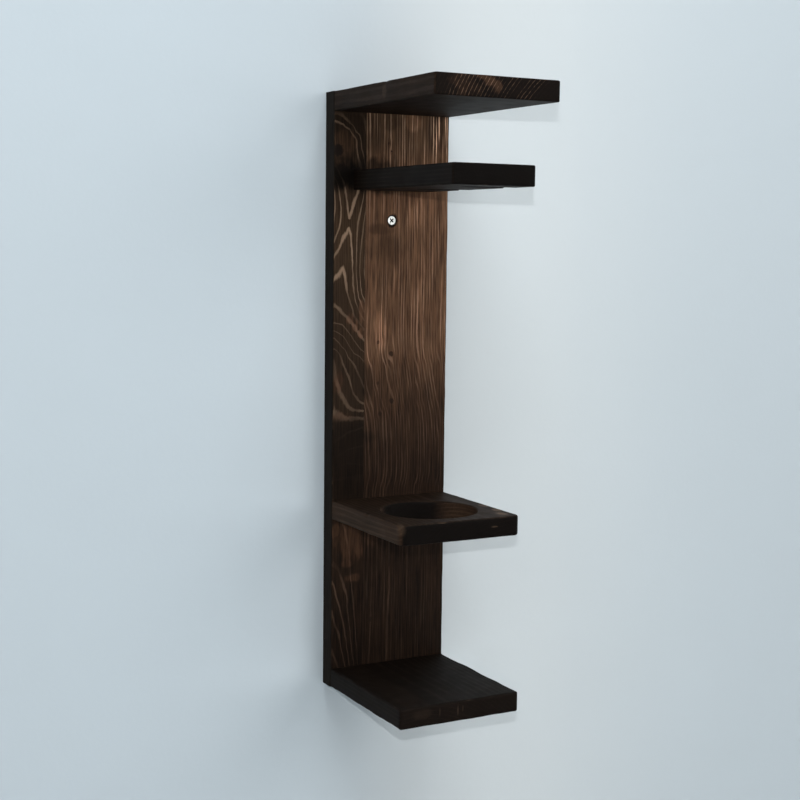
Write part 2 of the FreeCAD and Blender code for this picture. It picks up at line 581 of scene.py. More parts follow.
@dataclass(frozen=True)
class RingLine:
    """One year ring's pale line on the left stave: its number and the places (x, z) that it passes."""

    number: float
    places: tuple[tuple[float, float], ...]

    def crossing(self, x: float) -> Union[float, None]:
        """The height at which the line crosses a plumb line.

        Args:
            x: The plumb line's place.

        Returns:
            The height, or None where the line doesn't reach it.
        """
        across = [place[0] for place in self.places]
        if not min(across) <= x <= max(across):
            return None
        return float(np.interp(x, across, [place[1] for place in self.places]))


@dataclass(frozen=True)
class LeftStave:
    """The flat sawn stave: arches, a saddle between two of them, and a bowl lower down.

    Its rings are numbered. The number at a place comes from the heights at which the lines cross
    six plumb lines, and from a few spots between the lines.
    """

    plumb_lines: tuple[float, ...] = (-60.0, -51.0, -44.5, -39.0, -32.0, -25.0)
    lines: tuple[RingLine, ...] = (
        RingLine(1, ((-60, 533), (-51, 530.5), (-44.5, 525.5), (-39, 517), (-32, 503), (-26, 487))),
        RingLine(0, ((-60, 526), (-51, 523.5), (-44.5, 519), (-39, 511), (-34, 495))),
        RingLine(0, ((-60, 486), (-53, 479), (-51, 472), (-48, 463), (-44.5, 438), (-39, 452), (-34, 466),
                     (-32, 483))),
        RingLine(1, ((-60, 475), (-53, 443))),
        RingLine(2, ((-60, 438), (-57, 455))),
        RingLine(1, ((-60, 417), (-55, 430))),
        RingLine(0, ((-60, 404), (-56, 409), (-53, 415), (-50, 422), (-44.5, 430), (-42.5, 421), (-41, 400),
                     (-39, 374), (-36, 361), (-32, 352), (-25, 340))),
        RingLine(-1, ((-60, 383), (-55, 387), (-50, 394), (-47, 382), (-45, 371), (-42, 358), (-38, 350),
                      (-32, 342), (-25, 333))),
        RingLine(1, ((-34, 436), (-32, 446), (-30, 460), (-26, 489))),
        RingLine(1, ((-36, 400), (-32, 362), (-25, 349))),
        RingLine(-2, ((-60, 361), (-53, 354), (-46, 349), (-39, 341), (-32, 331), (-25, 324))),
        RingLine(-3, ((-60, 345), (-50, 340.5), (-46, 337), (-41, 330), (-37, 324), (-32, 318), (-25, 313))),
        RingLine(-4, ((-60, 337), (-50, 330), (-44, 322), (-39, 315), (-34, 311), (-25, 303))),
        RingLine(-5, ((-60, 329), (-53, 323), (-46, 313), (-39, 304), (-33, 294), (-25, 279))),
        RingLine(-6, ((-60, 320), (-55, 313), (-50, 309), (-46, 300), (-42, 287), (-38, 276), (-32, 270),
                      (-25, 267))),
        RingLine(-7, ((-60, 310), (-56, 290), (-52, 277), (-46, 267), (-39, 262.5), (-25, 260.5))),
        RingLine(-8, ((-60, 261), (-53, 257), (-46, 254), (-25, 253.5))),
        RingLine(-9, ((-60, 232), (-53, 236), (-46, 240), (-36, 244), (-25, 246))),
        RingLine(-10, ((-60, 218), (-50, 221), (-46, 224), (-38, 226), (-25, 229))),
        RingLine(-11, ((-60, 208), (-46, 213), (-25, 210))),
        RingLine(-12, ((-60, 197), (-46, 199), (-25, 200))),
        RingLine(-13, ((-60, 180), (-53, 165), (-46, 155), (-39, 92), (-35, 48), (-32, 18), (-28, 0))),
        RingLine(-14, ((-60, 120), (-53, 112), (-46, 98), (-42, 65), (-39, 38), (-35, 8))),
        RingLine(-15, ((-60, 103), (-57, 98), (-53, 86), (-50, 70), (-46, 55), (-44, 42), (-39, 8))),
        RingLine(-16, ((-60, 72), (-57, 66), (-53, 53), (-50, 45), (-46, 18))),
        RingLine(-17, ((-60, 38), (-57, 30), (-53, 17))),
    )
    # places up each plumb line, each with the ring number there
    spots: tuple[tuple[float, tuple[tuple[float, float], ...]], ...] = (
        (-60, ((552, 1.45), (521, -0.42), (500, -0.45), (491, -0.42), (455, 2.2), (290, -7.35),
               (0, -18.2))),
        (-51, ((552, 1.6), (518, -0.42), (500, -0.45), (479, -0.42), (440, 0.7), (405, -0.55),
               (0, -17.3))),
        (-44.5, ((552, 2.4), (513, -0.42), (499, -0.45), (470, -0.45), (434, 0.35), (410, -0.5),
               (0, -16.5))),
        (-39, ((552, 2.45), (506, -0.42), (487, -0.45), (468, -0.42), (430, 0.5), (400, 0.3),
               (120, -12.8), (0, -15.3))),
        (-32, ((552, 2.45), (430, 1.5), (400, 2.2), (375, 2.0), (110, -12.4), (60, -12.5), (0, -13.6))),
        (-25, ((552, 2.45), (510, 2.3), (470, 1.9), (450, 2.4), (430, 3.0), (400, 3.5), (372, 3.2),
               (100, -12.0), (0, -12.6))),
    )
    # how much of each ring's line shows, and half its width, both by ring number
    strengths: tuple[tuple[float, float], ...] = (
        (-19, 0.3), (-17, 0.6), (-15, 0.95), (-14, 0.75), (-13, 0.75), (-12.4, 0.3), (-12, 0.12), (-9, 0.2),
        (-8, 0.6), (-7, 0.75), (-6, 0.65), (-5, 0.5), (-4, 0.4), (-3, 0.4), (-2, 0.7), (-1, 0.95), (0, 1.0),
        (1, 0.85), (2, 0.75), (4, 0.6), (7, 0.5),
    )
    half_widths: tuple[tuple[float, float], ...] = (
        (-19, 0.12), (-15, 0.14), (-13, 0.1), (-11, 0.08), (-9, 0.09), (-8, 0.27), (-7, 0.2), (-6, 0.13),
        (-5, 0.11), (-4, 0.09), (-3, 0.1), (-2, 0.14), (-1, 0.14), (0, 0.17), (1, 0.15), (7, 0.17),
    )
    # how much the lines show up the stave
    clearness: tuple[tuple[float, float], ...] = (
        (0, 0.55), (40, 0.9), (100, 1.0), (112, 0.45), (240, 0.45), (252, 0.9), (330, 0.85), (352, 1.0),
        (462, 1.0), (484, 0.85), (514, 0.8), (530, 0.4), (552, 0.2),
    )
    # parts where the lines hardly show, and lighter parts
    blank_parts: tuple[Patch, ...] = (
        tint(-61.0, 500.0, 25.0, 28.0, 1.0),
        tint(-60.0, 545.0, 30.0, 22.0, 0.8),
        tint(-33.0, 552.0, 30.0, 36.0, 0.9),
    )
    light_parts: tuple[Patch, ...] = (
        tint(-48.0, 505.0, 15.0, 16.0, 0.7),
        tint(-52.0, 487.0, 12.0, 6.0, 0.6),
        tint(-30.0, 350.0, 5.0, 15.0, 0.6),
        tint(-56.0, 149.0, 8.0, 8.0, 0.9),
        tint(-40.0, 140.0, 19.0, 28.0, 1.0),
        tint(-44.0, 117.0, 9.0, 5.0, 0.7),
        tint(-38.0, 103.0, 12.0, 5.0, 1.0),
    )
    # parts where a line widens and turns reddish
    wide_parts: tuple[Patch, ...] = (
        tint(-42.5, 346.0, 6.0, 7.0, 0.8),
        tint(-37.0, 340.0, 6.0, 8.0, 1.0),
        tint(-32.0, 333.0, 4.5, 7.0, 1.0),
    )
    warm_parts: tuple[Patch, ...] = (
        tint(-55.0, 288.0, 7.0, 13.0, 0.9),
        tint(-50.0, 256.0, 14.0, 6.0, 0.6),
        tint(-30.0, 352.0, 5.0, 14.0, 0.7),
        tint(-32.0, 74.0, 7.0, 26.0, 0.5),
        tint(-40.0, 140.0, 19.0, 28.0, 0.9),
    )
    # the stave's tone up its height: partly the stain's own tone, partly painted shade, darker low down,
    # just above the collar shelf, and from the glass shelf up to the top shelf
    levels: tuple[tuple[float, float], ...] = (
        (0, 0.14), (45, 0.17), (95, 0.25), (130, 0.34), (150, 0.4), (162, 0.28), (190, 0.16), (240, 0.19),
        (262, 0.44), (330, 0.58), (370, 0.72), (440, 0.96), (470, 0.62), (505, 0.46), (552, 0.42),
    )
    # rings for each millimetre into the wood
    rings_into_wood: float = 0.22
    # a stretch that one line misses, by ring number, height and place across
    missing_ring: tuple[float, float] = (-1.6, -1.4)
    missing_up: tuple[float, float] = (366.0, 354.0)
    missing_across: tuple[float, float] = (-41.0, -37.0)
    # below this the stave turns warmer: where that starts, and where it is full
    warm_below: tuple[float, float] = (250.0, 150.0)
    seed: float = 4.0

    def heights(self, x: float) -> list[tuple[float, float]]:
        """Ring numbers up one plumb line.

        Args:
            x: The plumb line's place.

        Returns:
            Heights in rising order, each with its ring number.
        """
        found = [(line.crossing(x), float(line.number)) for line in self.lines]
        found = [(height, number) for height, number in found if height is not None]
        for place, marks in self.spots:
            found += [(float(height), float(number)) for height, number in marks if place == x]
        return sorted(found)

    def rings(self, graph: NodeGraph, place: Point) -> Signal:
        """The ring number at a place.

        Args:
            graph: The material's graph.
            place: The coordinates in millimetres.

        Returns:
            The ring number, whole on a line.
        """
        x, y, z = place
        tremble = graph.noise(place, (0.22, 0.2, 0.1), self.seed + 2.0)
        drift = graph.noise(place, (0.07, 0.07, 0.05), self.seed + 4.0)
        across = x + tremble.offset(1.3) + drift.offset(2.2)
        up = z + drift.offset(5.0)
        total: Number = 0.0
        lines = self.plumb_lines
        for before, line_x, after in zip((None, *lines), lines, (*lines[1:], None)):
            near: Number = 1.0
            for beyond in (before, after):
                if beyond is not None:
                    near = ((across - beyond) * (1 / (line_x - beyond))).least(near)
            total = total + near.most(0.0) * graph.course(up, self.heights(line_x))
        return total + (y - BOARD_FACE) * self.rings_into_wood

    def grain(self, graph: NodeGraph, place: Point, fray: Signal) -> StaveGrain:
        """Works out the stave's grain at a place.

        Args:
            graph: The material's graph.
            place: The coordinates in millimetres.
            fray: Noise from 0 to 1 that frays the patches' edges.

        Returns:
            The grain there.
        """
        x, _, z = place
        rings = self.rings(graph, place)
        wide = graph.patches(place, self.wide_parts, fray)
        blank = graph.patches(place, self.blank_parts, fray)
        light = graph.patches(place, self.light_parts, fray)
        warm = graph.patches(place, self.warm_parts, fray).most(wide)
        missing = rings.between(*self.missing_ring) * z.between(*self.missing_up)
        missing = missing * x.between(*self.missing_across)
        clear = graph.course(rings, self.strengths) * graph.course(z, self.clearness)
        return StaveGrain(
            rings=rings,
            half_width=graph.course(rings, self.half_widths) + wide * 0.22,
            level=graph.course(z, self.levels) * (1.0 + wide * 0.25 + light * 0.9),
            contrast=clear * (1.0 - missing * 0.85) * (1.0 - blank * 0.93),
            redness=0.2 + warm * 0.7 + light * 0.4 + z.between(*self.warm_below) * 0.4,
        )


@dataclass(frozen=True)
class RightStave:
    """The quarter sawn stave: fine straight rings that lean a little and bend round small knots."""

    ring_width: float = 3.0
    lean: float = 0.4
    # how knots bend the rings round them: flattened upwards, reach in radii, and how far
    knot_flatness: float = 0.55
    knot_reach: float = 2.2
    knot_push: float = 0.6
    seed: float = 9.0
    # how far the rings have shifted to the right, by height
    shifts: tuple[tuple[float, float], ...] = (
        (0, 9), (120, 11), (182, 12), (205, 15), (240, 14), (270, 9.5), (300, 4), (335, 0), (400, 0.5),
        (552, 0),
    )
    knots: tuple[Knot, ...] = (
        Knot(-4.2, 507.5, 1.1, 0.45),
        Knot(-1.2, 500.4, 0.8, 0.9),
        Knot(0.4, 313.0, 2.3, 0.7),
        Knot(-13.4, 324.0, 1.6, 0.6),
        Knot(-13.2, 285.9, 1.6, 0.5),
        Knot(1.4, 268.5, 2.4, 0.7),
        Knot(-11.0, 257.0, 2.0, 0.5),
        Knot(-19.0, 61.0, 2.2, 0.5),
    )
    # the stave's tone and how clear its lines are, both up its height, and half a line's width. The tone is
    # darker low down, partly stain and partly painted shade, and lighter towards the top shelf, partly
    # painted light
    levels: tuple[tuple[float, float], ...] = (
        (0, 0.16), (60, 0.21), (130, 0.27), (190, 0.26), (245, 0.44), (300, 1.0), (340, 1.5), (400, 1.45),
        (450, 1.75), (500, 1.75), (530, 1.7), (552, 1.4),
    )
    clearness: tuple[tuple[float, float], ...] = (
        (0, 0.9), (190, 1.0), (460, 1.0), (490, 1.5), (552, 1.7),
    )
    half_width: float = 0.24
    # tan and brown parts
    tan_parts: tuple[Patch, ...] = (
        tint(21.0, 527.0, 13.0, 10.0, 1.0),
        tint(-12.0, 334.0, 8.0, 26.0, 0.9),
        tint(27.0, 446.0, 14.0, 18.0, 0.5),
        tint(52.0, 515.0, 10.0, 24.0, 1.0),
        tint(-21.0, 141.0, 10.0, 17.0, 1.0),
    )
    # where the stave is less warm: higher than the first two, and lower than the last two
    cool_above: tuple[float, float] = (470.0, 510.0)
    cool_below: tuple[float, float] = (190.0, 120.0)

    def rings(self, graph: NodeGraph, place: Point) -> Signal:
        """The ring number at a place.

        Args:
            graph: The material's graph.
            place: The coordinates in millimetres.

        Returns:
            The ring number, whole on a line.
        """
        x, y, z = place
        sway = graph.noise(place, (0.012, 0.02, 0.004), self.seed + 6.0, detail=1.0)
        ripple = graph.noise(place, (0.07, 0.05, 0.014), self.seed + 7.5)
        uneven = graph.noise((x, y, 0.0), (0.09, 0.03, 0.0), self.seed + 1.5, detail=1.0)
        across = x + y * self.lean + sway.offset(7.0) + ripple.offset(2.4) + uneven.offset(9.0)
        across = across - graph.course(z, self.shifts)
        for knot in self.knots:
            side = x - knot.x
            rise = (z - knot.z) * self.knot_flatness
            far = (side * side + rise * rise) * (1 / (self.knot_reach * knot.radius) ** 2)
            across = across - side * graph.math("EXPONENT", far * -1.0) * self.knot_push
        return across / self.ring_width

    def grain(self, graph: NodeGraph, place: Point, fray: Signal) -> StaveGrain:
        """Works out the stave's grain at a place.

        Args:
            graph: The material's graph.
            place: The coordinates in millimetres.
            fray: Noise from 0 to 1 that frays the patches' edges.

        Returns:
            The grain there.
        """
        z = place[2]
        rings = self.rings(graph, place)
        each = graph.noise(((rings + 0.5).whole(), 0.0, z), (0.73, 0.0, 0.014), 1.3, detail=2.0)
        band = graph.noise(place, (0.13, 0.06, 0.004), self.seed - 2.0, detail=2.0)
        blotch = graph.noise(place, (0.06, 0.05, 0.045), self.seed + 7.0)
        tan = graph.patches(place, self.tan_parts, fray)
        cool = z.between(*self.cool_above) * 0.4 + z.between(*self.cool_below) * 0.1
        return StaveGrain(
            rings=rings,
            half_width=self.half_width,
            level=graph.course(z, self.levels) * band.swing(0.38) * (1.0 + tan * 0.5) * blotch.swing(0.28),
            contrast=each.between(0.36, 0.66) * (0.55 + tan * 0.3) * graph.course(z, self.clearness),
            redness=1.15 + tan * 0.2 - blotch * 0.7 - cool,
        )


@dataclass(frozen=True)
class BackBoardFigure(Figure):
    """Two staves glued edge to edge, each with its own grain."""

    left_stave: LeftStave = LeftStave()
    right_stave: RightStave = RightStave()
    seam_x: float = -27.6
    seam_gap: float = 0.15
    glue_reach: float = 0.7
    big_knot: Knot = Knot(-55.8, 499.5, 5.0)
    # painted shade in the countersink round the hanging screw, drawn as a dark knot
    countersink_shade: Knot = Knot(0.2, 436.8, 5.8, 0.95)
    # darker parts, on both staves; the last two are painted shadow of the glass shelf on the board, to its
    # left and just above it
    dark_parts: tuple[Patch, ...] = (
        tint(-1.0, 528.0, 17.0, 13.0, 0.38),
        tint(-12.0, 428.0, 19.0, 6.5, 0.36),
        tint(-5.0, 411.0, 24.0, 18.0, 0.26),
        tint(-23.0, 288.0, 9.0, 22.0, 0.45),
        tint(-19.0, 522.0, 13.0, 36.0, 0.35),
        tint(-22.0, 236.0, 9.0, 7.0, 0.35),
        tint(-49.0, 477.5, 34.0, 20.0, 1.0),
        tint(-22.0, 478.0, 50.0, 21.0, 0.8),
    )
    # a few crisp lines near the right hand edge: from and to across, from and to up
    crisp_across: tuple[float, float] = (34.0, 45.0)
    crisp_up: tuple[float, float] = (492.0, 508.0)
    # where the left stave's lines turn paler, from and to up
    pale_above: tuple[float, float] = (486.0, 500.0)
    # how much a dark part takes off, and the even tone of the sawn edges
    dark_depth: float = 0.88
    edge_level: float = 0.21
    seed: float = 4.0

    def knot_and_countersink_shade(self, graph: NodeGraph, place: Point) -> Signal:
        """How dark a place is from the knots and from the painted shade in the countersink.

        Args:
            graph: The material's graph.
            place: The coordinates in millimetres.

        Returns:
            The darkness there, from 0 to 1.
        """
        flatness = 0.9
        soft_edge, solid_core = 1.15, 0.75
        x, _, z = place
        rough = graph.noise(place, (0.3, 0.3, 0.3), 2.2)
        dark: Number = 0.0
        # the countersink's painted shade is drawn like a knot
        for knot in (self.big_knot, self.countersink_shade, *self.right_stave.knots):
            side = x - knot.x
            rise = (z - knot.z) * flatness
            far = (side * side + rise * rise).root() + rough.offset(knot.radius)
            here = far.between(knot.radius * soft_edge, knot.radius * solid_core) * knot.dark
            dark = here if isinstance(dark, float) else dark.most(here)
        return dark

    def grain(self, graph: NodeGraph, place: Point) -> Grain:
        """Works out the grain at a place.

        Args:
            graph: The material's graph.
            place: The coordinates in millimetres.

        Returns:
            The grain there.
        """
        x, _, z = place
        right = x.between(self.seam_x - self.seam_gap, self.seam_x + self.seam_gap)
        left = 1.0 - right
        fray = graph.noise(place, (0.16, 0.1, 0.05), self.seed + 8.0, detail=3.0)
        cloud = graph.noise(place, (0.035, 0.03, 0.018), self.seed + 1.0)
        one = self.left_stave.grain(graph, place, fray)
        other = self.right_stave.grain(graph, place, fray)
        # the dark parts take tone off; two of them are painted shadow of the glass shelf
        dark = graph.patches(place, self.dark_parts, fray)
        glue_line = (x - self.seam_x).size().between(self.seam_gap, self.glue_reach)
        crisp = x.between(*self.crisp_across) * z.between(*self.crisp_up)
        normal = graph.facing()
        edges = normal[0].size().most(normal[2].size()).between(0.5, 0.85)
        level = (one.level * left + other.level * right) * cloud.swing(0.28) * (0.75 + glue_line * 0.25)
        level = level * (1.0 - dark * self.dark_depth)
        level = level * (1.0 - edges) + edges * self.edge_level
        contrast = one.contrast * left + other.contrast * right
        return Grain(
            rings=one.rings * left + other.rings * right,
            half_width=one.half_width * left + right * other.half_width,
            fibre=graph.noise(place, (0.8, 0.5, 0.028), self.seed, detail=3.0, roughness=0.65),
            level=level * (1.0 - crisp * 0.65),
            pale_level=level * (1.0 + crisp * 0.3 + left * z.between(*self.pale_above) * 0.5),
            contrast=contrast * (1.0 + crisp * 0.3) * (1.0 - edges * 0.92),
            redness=right * (other.redness - dark * 0.3) + left * one.redness - edges * 0.5,
            knots=self.knot_and_countersink_shade(graph, place),
        )


@dataclass(frozen=True)
class StainedPine:
    """Dark stain on softwood. The hard ridge of each year ring took less stain than the rest."""

    deep: Colour = tone(46, 32, 23)
    olive: Colour = tone(67, 53, 38)
    warm: Colour = tone(98, 69, 50)
    pale: Colour = tone(150, 126, 104)
    pale_warm: Colour = tone(150, 112, 90)
    # the knots' colour, also the colour of the painted shade in the countersink
    knot: Colour = tone(26, 18, 14)
    # the worn colour, also used for patches of painted reflection
    worn_and_sheen: Colour = tone(104, 84, 68)
    roughness: float = 0.64
    specular: float = 0.075
    relief_mm: float = 0.22
    relief_strength: float = 0.6
    # where a ridge starts to show and where it is full, in half widths off its middle
    ridge_fade: tuple[float, float] = (1.05, 0.3)
    # how far the fibres break a ridge's edge, and the share of it that always shows
    ridge_breaks: float = 1.6
    least_ridge: float = 0.35
    # the worn edges: how far from the corner wear starts, and where it is full
    wear_reach: tuple[float, float] = (1.5, 0.2)
    wear_patches: tuple[float, float] = (0.54, 0.72)

    def material(self, name: str, board: Board) -> bpy.types.Material:
        """Makes the finish for one board.

        Args:
            name: The material's name.
            board: The board, with its figure and its worn edges.

        Returns:
            The finished material.
        """
        graph = NodeGraph(name)
        place = graph.millimetres()
        grain = board.figure.grain(graph, place)
        ridge = self.ridges(graph, grain, place)
        wear_and_sheen = self.wear_and_sheen(graph, place, board)
        base = graph.blend(grain.redness, self.olive, self.warm)
        base = graph.blend(grain.fibre.between(0.3, 0.68), self.deep, base)
        base = graph.shade(base, grain.level)
        pale = graph.shade(graph.blend(grain.redness, self.pale, self.pale_warm), grain.pale_level)
        colour = graph.blend(ridge * grain.contrast, base, pale)
        # knots, and the painted shade in the back board's countersink
        colour = graph.blend(grain.knots, colour, self.knot)
        # wear, and the painted reflection on the collar's top
        colour = graph.blend(wear_and_sheen, colour, self.worn_and_sheen)
        shader = graph.node("ShaderNodeBsdfPrincipled")
        graph.put(shader.inputs["Base Color"], colour)
        smear = graph.noise(place, (0.06, 0.06, 0.06), 12.0, detail=3.0)
        graph.put(shader.inputs["Roughness"], self.roughness + smear.offset(0.2) - ridge * 0.05)
        shader.inputs["Specular IOR Level"].default_value = self.specular
        height = ridge * (grain.contrast * 0.55 + 0.08) + grain.fibre * 0.4
        graph.put(shader.inputs["Normal"], graph.relief(height, self.relief_mm, self.relief_strength))
        return graph.finish(shader.outputs["BSDF"])

    def ridges(self, graph: NodeGraph, grain: Grain, place: Point) -> Signal:
        """How much of a pale ridge shows, from the middle of each ring's line to its edges.

        Args:
            graph: The material's graph.
            grain: The board's grain.
            place: The coordinates in millimetres.

        Returns:
            The ridge, from 0 to 1.
        """
        off_line = ((grain.rings + 0.5).fraction() - 0.5).size()
        stretch = graph.noise(place, (0.06, 0.04, 0.03), 21.0, detail=2.0)
        break_up = graph.noise(place, (0.55, 0.2, 0.12), 33.0, detail=4.0, roughness=0.6)
        share = off_line / grain.half_width + break_up.offset(self.ridge_breaks)
        profile = share.between(*self.ridge_fade)
        shown = self.least_ridge + stretch.between(0.3, 0.6) * (1 - self.least_ridge)
        return profile * shown * break_up.swing(0.55)

    def wear_and_sheen(self, graph: NodeGraph, place: Point, board: Board) -> Signal:
        """How far the edges and the rubbed spots are paler, and the patches of painted reflection.

        Args:
            graph: The material's graph.
            place: The coordinates in millimetres.
            board: The board.

        Returns:
            The wear, from 0 to 1.
        """
        gaps = []
        for part, low, high in zip(place, board.box.low, board.box.high):
            gaps.append((part - low).least(high - part))
        smaller = gaps[0].least(gaps[1])
        larger = gaps[0].most(gaps[1])
        second = larger.least(smaller.most(gaps[2]))
        patchy = graph.noise(place, (0.05, 0.05, 0.05), 44.0, detail=4.0, roughness=0.7)
        edge = second.between(*self.wear_reach) * patchy.between(*self.wear_patches) * board.edge_wear
        return edge.most(graph.patches(place, board.rubs_and_sheen, patchy))


@dataclass(frozen=True)
class ZincSteel:
    """Bright zinc plating on steel screws, brushed a little and dulled in patches, with painted shade in the
    cross recess.
    """

    bright: Colour = tone(246, 248, 246)
    dull: Colour = tone(214, 218, 214)
    # painted shade in the cross recess
    recess_shade: Colour = tone(28, 27, 26)
    roughness: float = 0.3
    # how much rougher the dull patches are, and the scuffs' depth and strength
    dull_roughness: float = 0.25
    scuff_mm: float = 0.02
    scuff_strength: float = 0.4

    def material(self, name: str) -> bpy.types.Material:
        """Makes the plating.

        Args:
            name: The material's name.

        Returns:
            The finished material.
        """
        graph = NodeGraph(name)
        place = graph.millimetres()
        patch = graph.noise(place, (0.5, 0.5, 0.5), 3.0, detail=4.0)
        scuff = graph.noise(place, (3.0, 3.0, 3.0), 7.0, detail=2.0)
        # the recess floor's mark, for painted shade there
        shaded_recess = graph.node("ShaderNodeAttribute", attribute_name="recess_shade")
        plating = graph.blend(patch.between(0.35, 0.7), self.bright, self.dull)
        shader = graph.node("ShaderNodeBsdfPrincipled")
        recess_shade = Signal(graph, shaded_recess.outputs["Fac"]).between(0.0, 0.35)
        graph.put(shader.inputs["Base Color"], graph.blend(recess_shade, plating, self.recess_shade))
        shader.inputs["Metallic"].default_value = 1.0
        graph.put(shader.inputs["Roughness"], self.roughness + patch * self.dull_roughness)
        graph.put(shader.inputs["Normal"], graph.relief(scuff, self.scuff_mm, self.scuff_strength))
        return graph.finish(shader.outputs["BSDF"])


@dataclass(frozen=True)
class PlainPaint:
    """Flat pale paint for the backdrop and the floor, with a faint roller texture and painted light where
    given.
    """

    colour: Colour
    one_sided: bool = False
    # painted light: a brighter tone and how much of it there is from left to right
    bright: Colour = tone(228, 233, 234)
    painted_light_across: tuple[tuple[float, float], ...] = ()
    roughness: float = 0.85
    specular: float = 0.2
    # how dark the paint gets where it is thin, and the roller's texture
    thin_share: float = 0.95
    roller_mm: float = 0.3
    roller_strength: float = 0.25

    def material(self, name: str) -> bpy.types.Material:
        """Makes the paint.

        Args:
            name: The material's name.

        Returns:
            The finished material. One that is one sided can't be seen from behind.
        """
        graph = NodeGraph(name)
        place = graph.millimetres()
        roller = graph.noise(place, (0.2, 0.2, 0.2), 5.0, detail=3.0)
        slow = graph.noise(place, (0.004, 0.004, 0.004), 9.0)
        shader = graph.node("ShaderNodeBsdfPrincipled")
        darker = tuple(c * self.thin_share for c in self.colour)
        colour = graph.blend(slow, self.colour, darker)
        # painted light across the backdrop
        if self.painted_light_across:
            colour = graph.blend(graph.course(place[0], self.painted_light_across), colour, self.bright)
        graph.put(shader.inputs["Base Color"], colour)
        shader.inputs["Roughness"].default_value = self.roughness
        shader.inputs["Specular IOR Level"].default_value = self.specular
        graph.put(shader.inputs["Normal"], graph.relief(roller, self.roller_mm, self.roller_strength))
        if not self.one_sided:
            return graph.finish(shader.outputs["BSDF"])
        back = graph.node("ShaderNodeNewGeometry")
        clear = graph.node("ShaderNodeBsdfTransparent")
        either = graph.node("ShaderNodeMixShader")
        graph.tree.links.new(back.outputs["Backfacing"], either.inputs["Fac"])
        graph.tree.links.new(shader.outputs["BSDF"], either.inputs[1])
        graph.tree.links.new(clear.outputs["BSDF"], either.inputs[2])
        return graph.finish(either.outputs["Shader"])


def link_mesh(name: str, mesh: bpy.types.Mesh) -> bpy.types.Object:
    """Puts a mesh in the scene.

    Args:
        name: The object's name.
        mesh: The mesh, in place and in metres.

    Returns:
        The new object, at the origin.
    """
    made = bpy.data.objects.new(name, mesh)
    bpy.context.scene.collection.objects.link(made)
    return made


def filled(points: np.ndarray, loops: Sequence[Sequence[int]]) -> list[tuple[int, ...]]:
    """Triangles that fill the area between an outer loop and the holes in it.

    Args:
        points: Points in the plane: the loops' and any loose ones inside.
        loops: The points' numbers round each loop.

    Returns:
        The triangles' point numbers, counter-clockwise.
    """
    holes_left_out, same_place, least_turn = 2, 1e-6, 1e-9
    found = delaunay_2d_cdt(
        [Vector(p) for p in points], [], [list(loop) for loop in loops], holes_left_out, same_place
    )
    flat, triangles, origins = found[0], found[2], found[3]
    made = []
    for triangle in triangles:
        a, b, c = (flat[i] for i in triangle)
        turn = (b - a).cross(c - a)
        numbers = tuple(origins[i][0] for i in triangle)
        if abs(turn) > least_turn and len(set(numbers)) == 3:
            made.append(numbers if turn > 0 else numbers[::-1])
    return made


@dataclass
class Rim:
    """How a loop's edge is cut where it meets a face: rounded, or cut at 45 degrees for a head."""

    size: float
    cone: bool = False
    steps: int = 4

    def profile(self) -> list[tuple[float, float]]:
        """The cut's points as shares of its size: how far into the wood, and how far down.

        Returns:
            Points from the face to the board's side.
        """
        turns = [step / self.steps for step in range(self.steps + 1)]
        if self.cone:
            return [(1 - turn, turn) for turn in turns]
        return [(1 - math.sin(turn * math.pi / 2), 1 - math.cos(turn * math.pi / 2)) for turn in turns]


@dataclass
class Loop:
    """A closed outline of a board: the outer one runs counter-clockwise and a hole's clockwise."""

    points: np.ndarray
    front: Rim
    back: Rim
    keep_sharp: Callable[[np.ndarray], bool] = lambda middle: False
    unevenness: float = 0.0
    corner_limit: float = 9.0
    corners: Sequence[np.ndarray] = ()
    seed: float = 0.0

    def inset(self, rim: Rim, share: float, hold: float, seed: float) -> tuple[np.ndarray, np.ndarray]:
        """Points moved into the wood, and the rim's size at each.

        Args:
            rim: The rim's cut.
            share: Share of the rim's size that the points move.
            hold: Plain distance that they move besides.
            seed: Picks the unevenness.

        Returns:
            The moved points and the rim's size at each of them.
        """
        nearly_straight = 0.3
        nxt = np.roll(self.points, -1, axis=0)
        along = nxt - self.points
        along /= np.linalg.norm(along, axis=1)[:, None]
        normals = np.column_stack([along[:, 1], -along[:, 0]])
        sizes = np.array([self.edge_size(rim, (a + b) / 2, seed) for a, b in zip(self.points, nxt)])
        before, size_before = np.roll(normals, 1, axis=0), np.roll(sizes, 1)
        moved = self.points.copy()
        for i, (n1, n2) in enumerate(zip(before, normals)):
            d1, d2 = size_before[i] * share + hold, sizes[i] * share + hold
            cross = n1[0] * n2[1] - n1[1] * n2[0]
            if abs(cross) < nearly_straight:
                mean = n1 + n2
                moved[i] -= mean / np.linalg.norm(mean) * (d1 + d2) / 2
            else:
                moved[i] += np.linalg.solve(np.array([n1, n2]), np.array([-d1, -d2]))
        return moved, (size_before + sizes) / 2

    def edge_size(self, rim: Rim, middle: np.ndarray, seed: float) -> float:
        """The rim's size at one edge, with the hand's unevenness.

        Args:
            rim: The rim's cut.
            middle: The edge's middle.
            seed: Picks the unevenness.

        Returns:
            The size.
        """
        sharp_size, least_size = 0.25, 0.3
        slow_wave, quick_wave = 26, 8
        slow_share, quick_share = 1.3, 0.5
        # near a rounded corner the rim stays small, and may grow with the distance from it
        corner_reach, growth, no_corner = 3.0, 0.25, 99.0
        if self.keep_sharp(middle):
            return sharp_size
        if not self.unevenness:
            return rim.size
        slow = noise.noise(Vector((middle[0] / slow_wave, middle[1] / slow_wave, self.seed + seed)))
        quick = noise.noise(Vector((middle[0] / quick_wave, middle[1] / quick_wave, self.seed + seed + 5)))
        size = rim.size * (1 + self.unevenness * (slow_share * slow + quick_share * quick))
        near = min((float(np.linalg.norm(middle - c)) for c in self.corners), default=no_corner)
        limit = self.corner_limit + max(0.0, near - corner_reach) * growth
        return float(np.clip(size, least_size, limit))


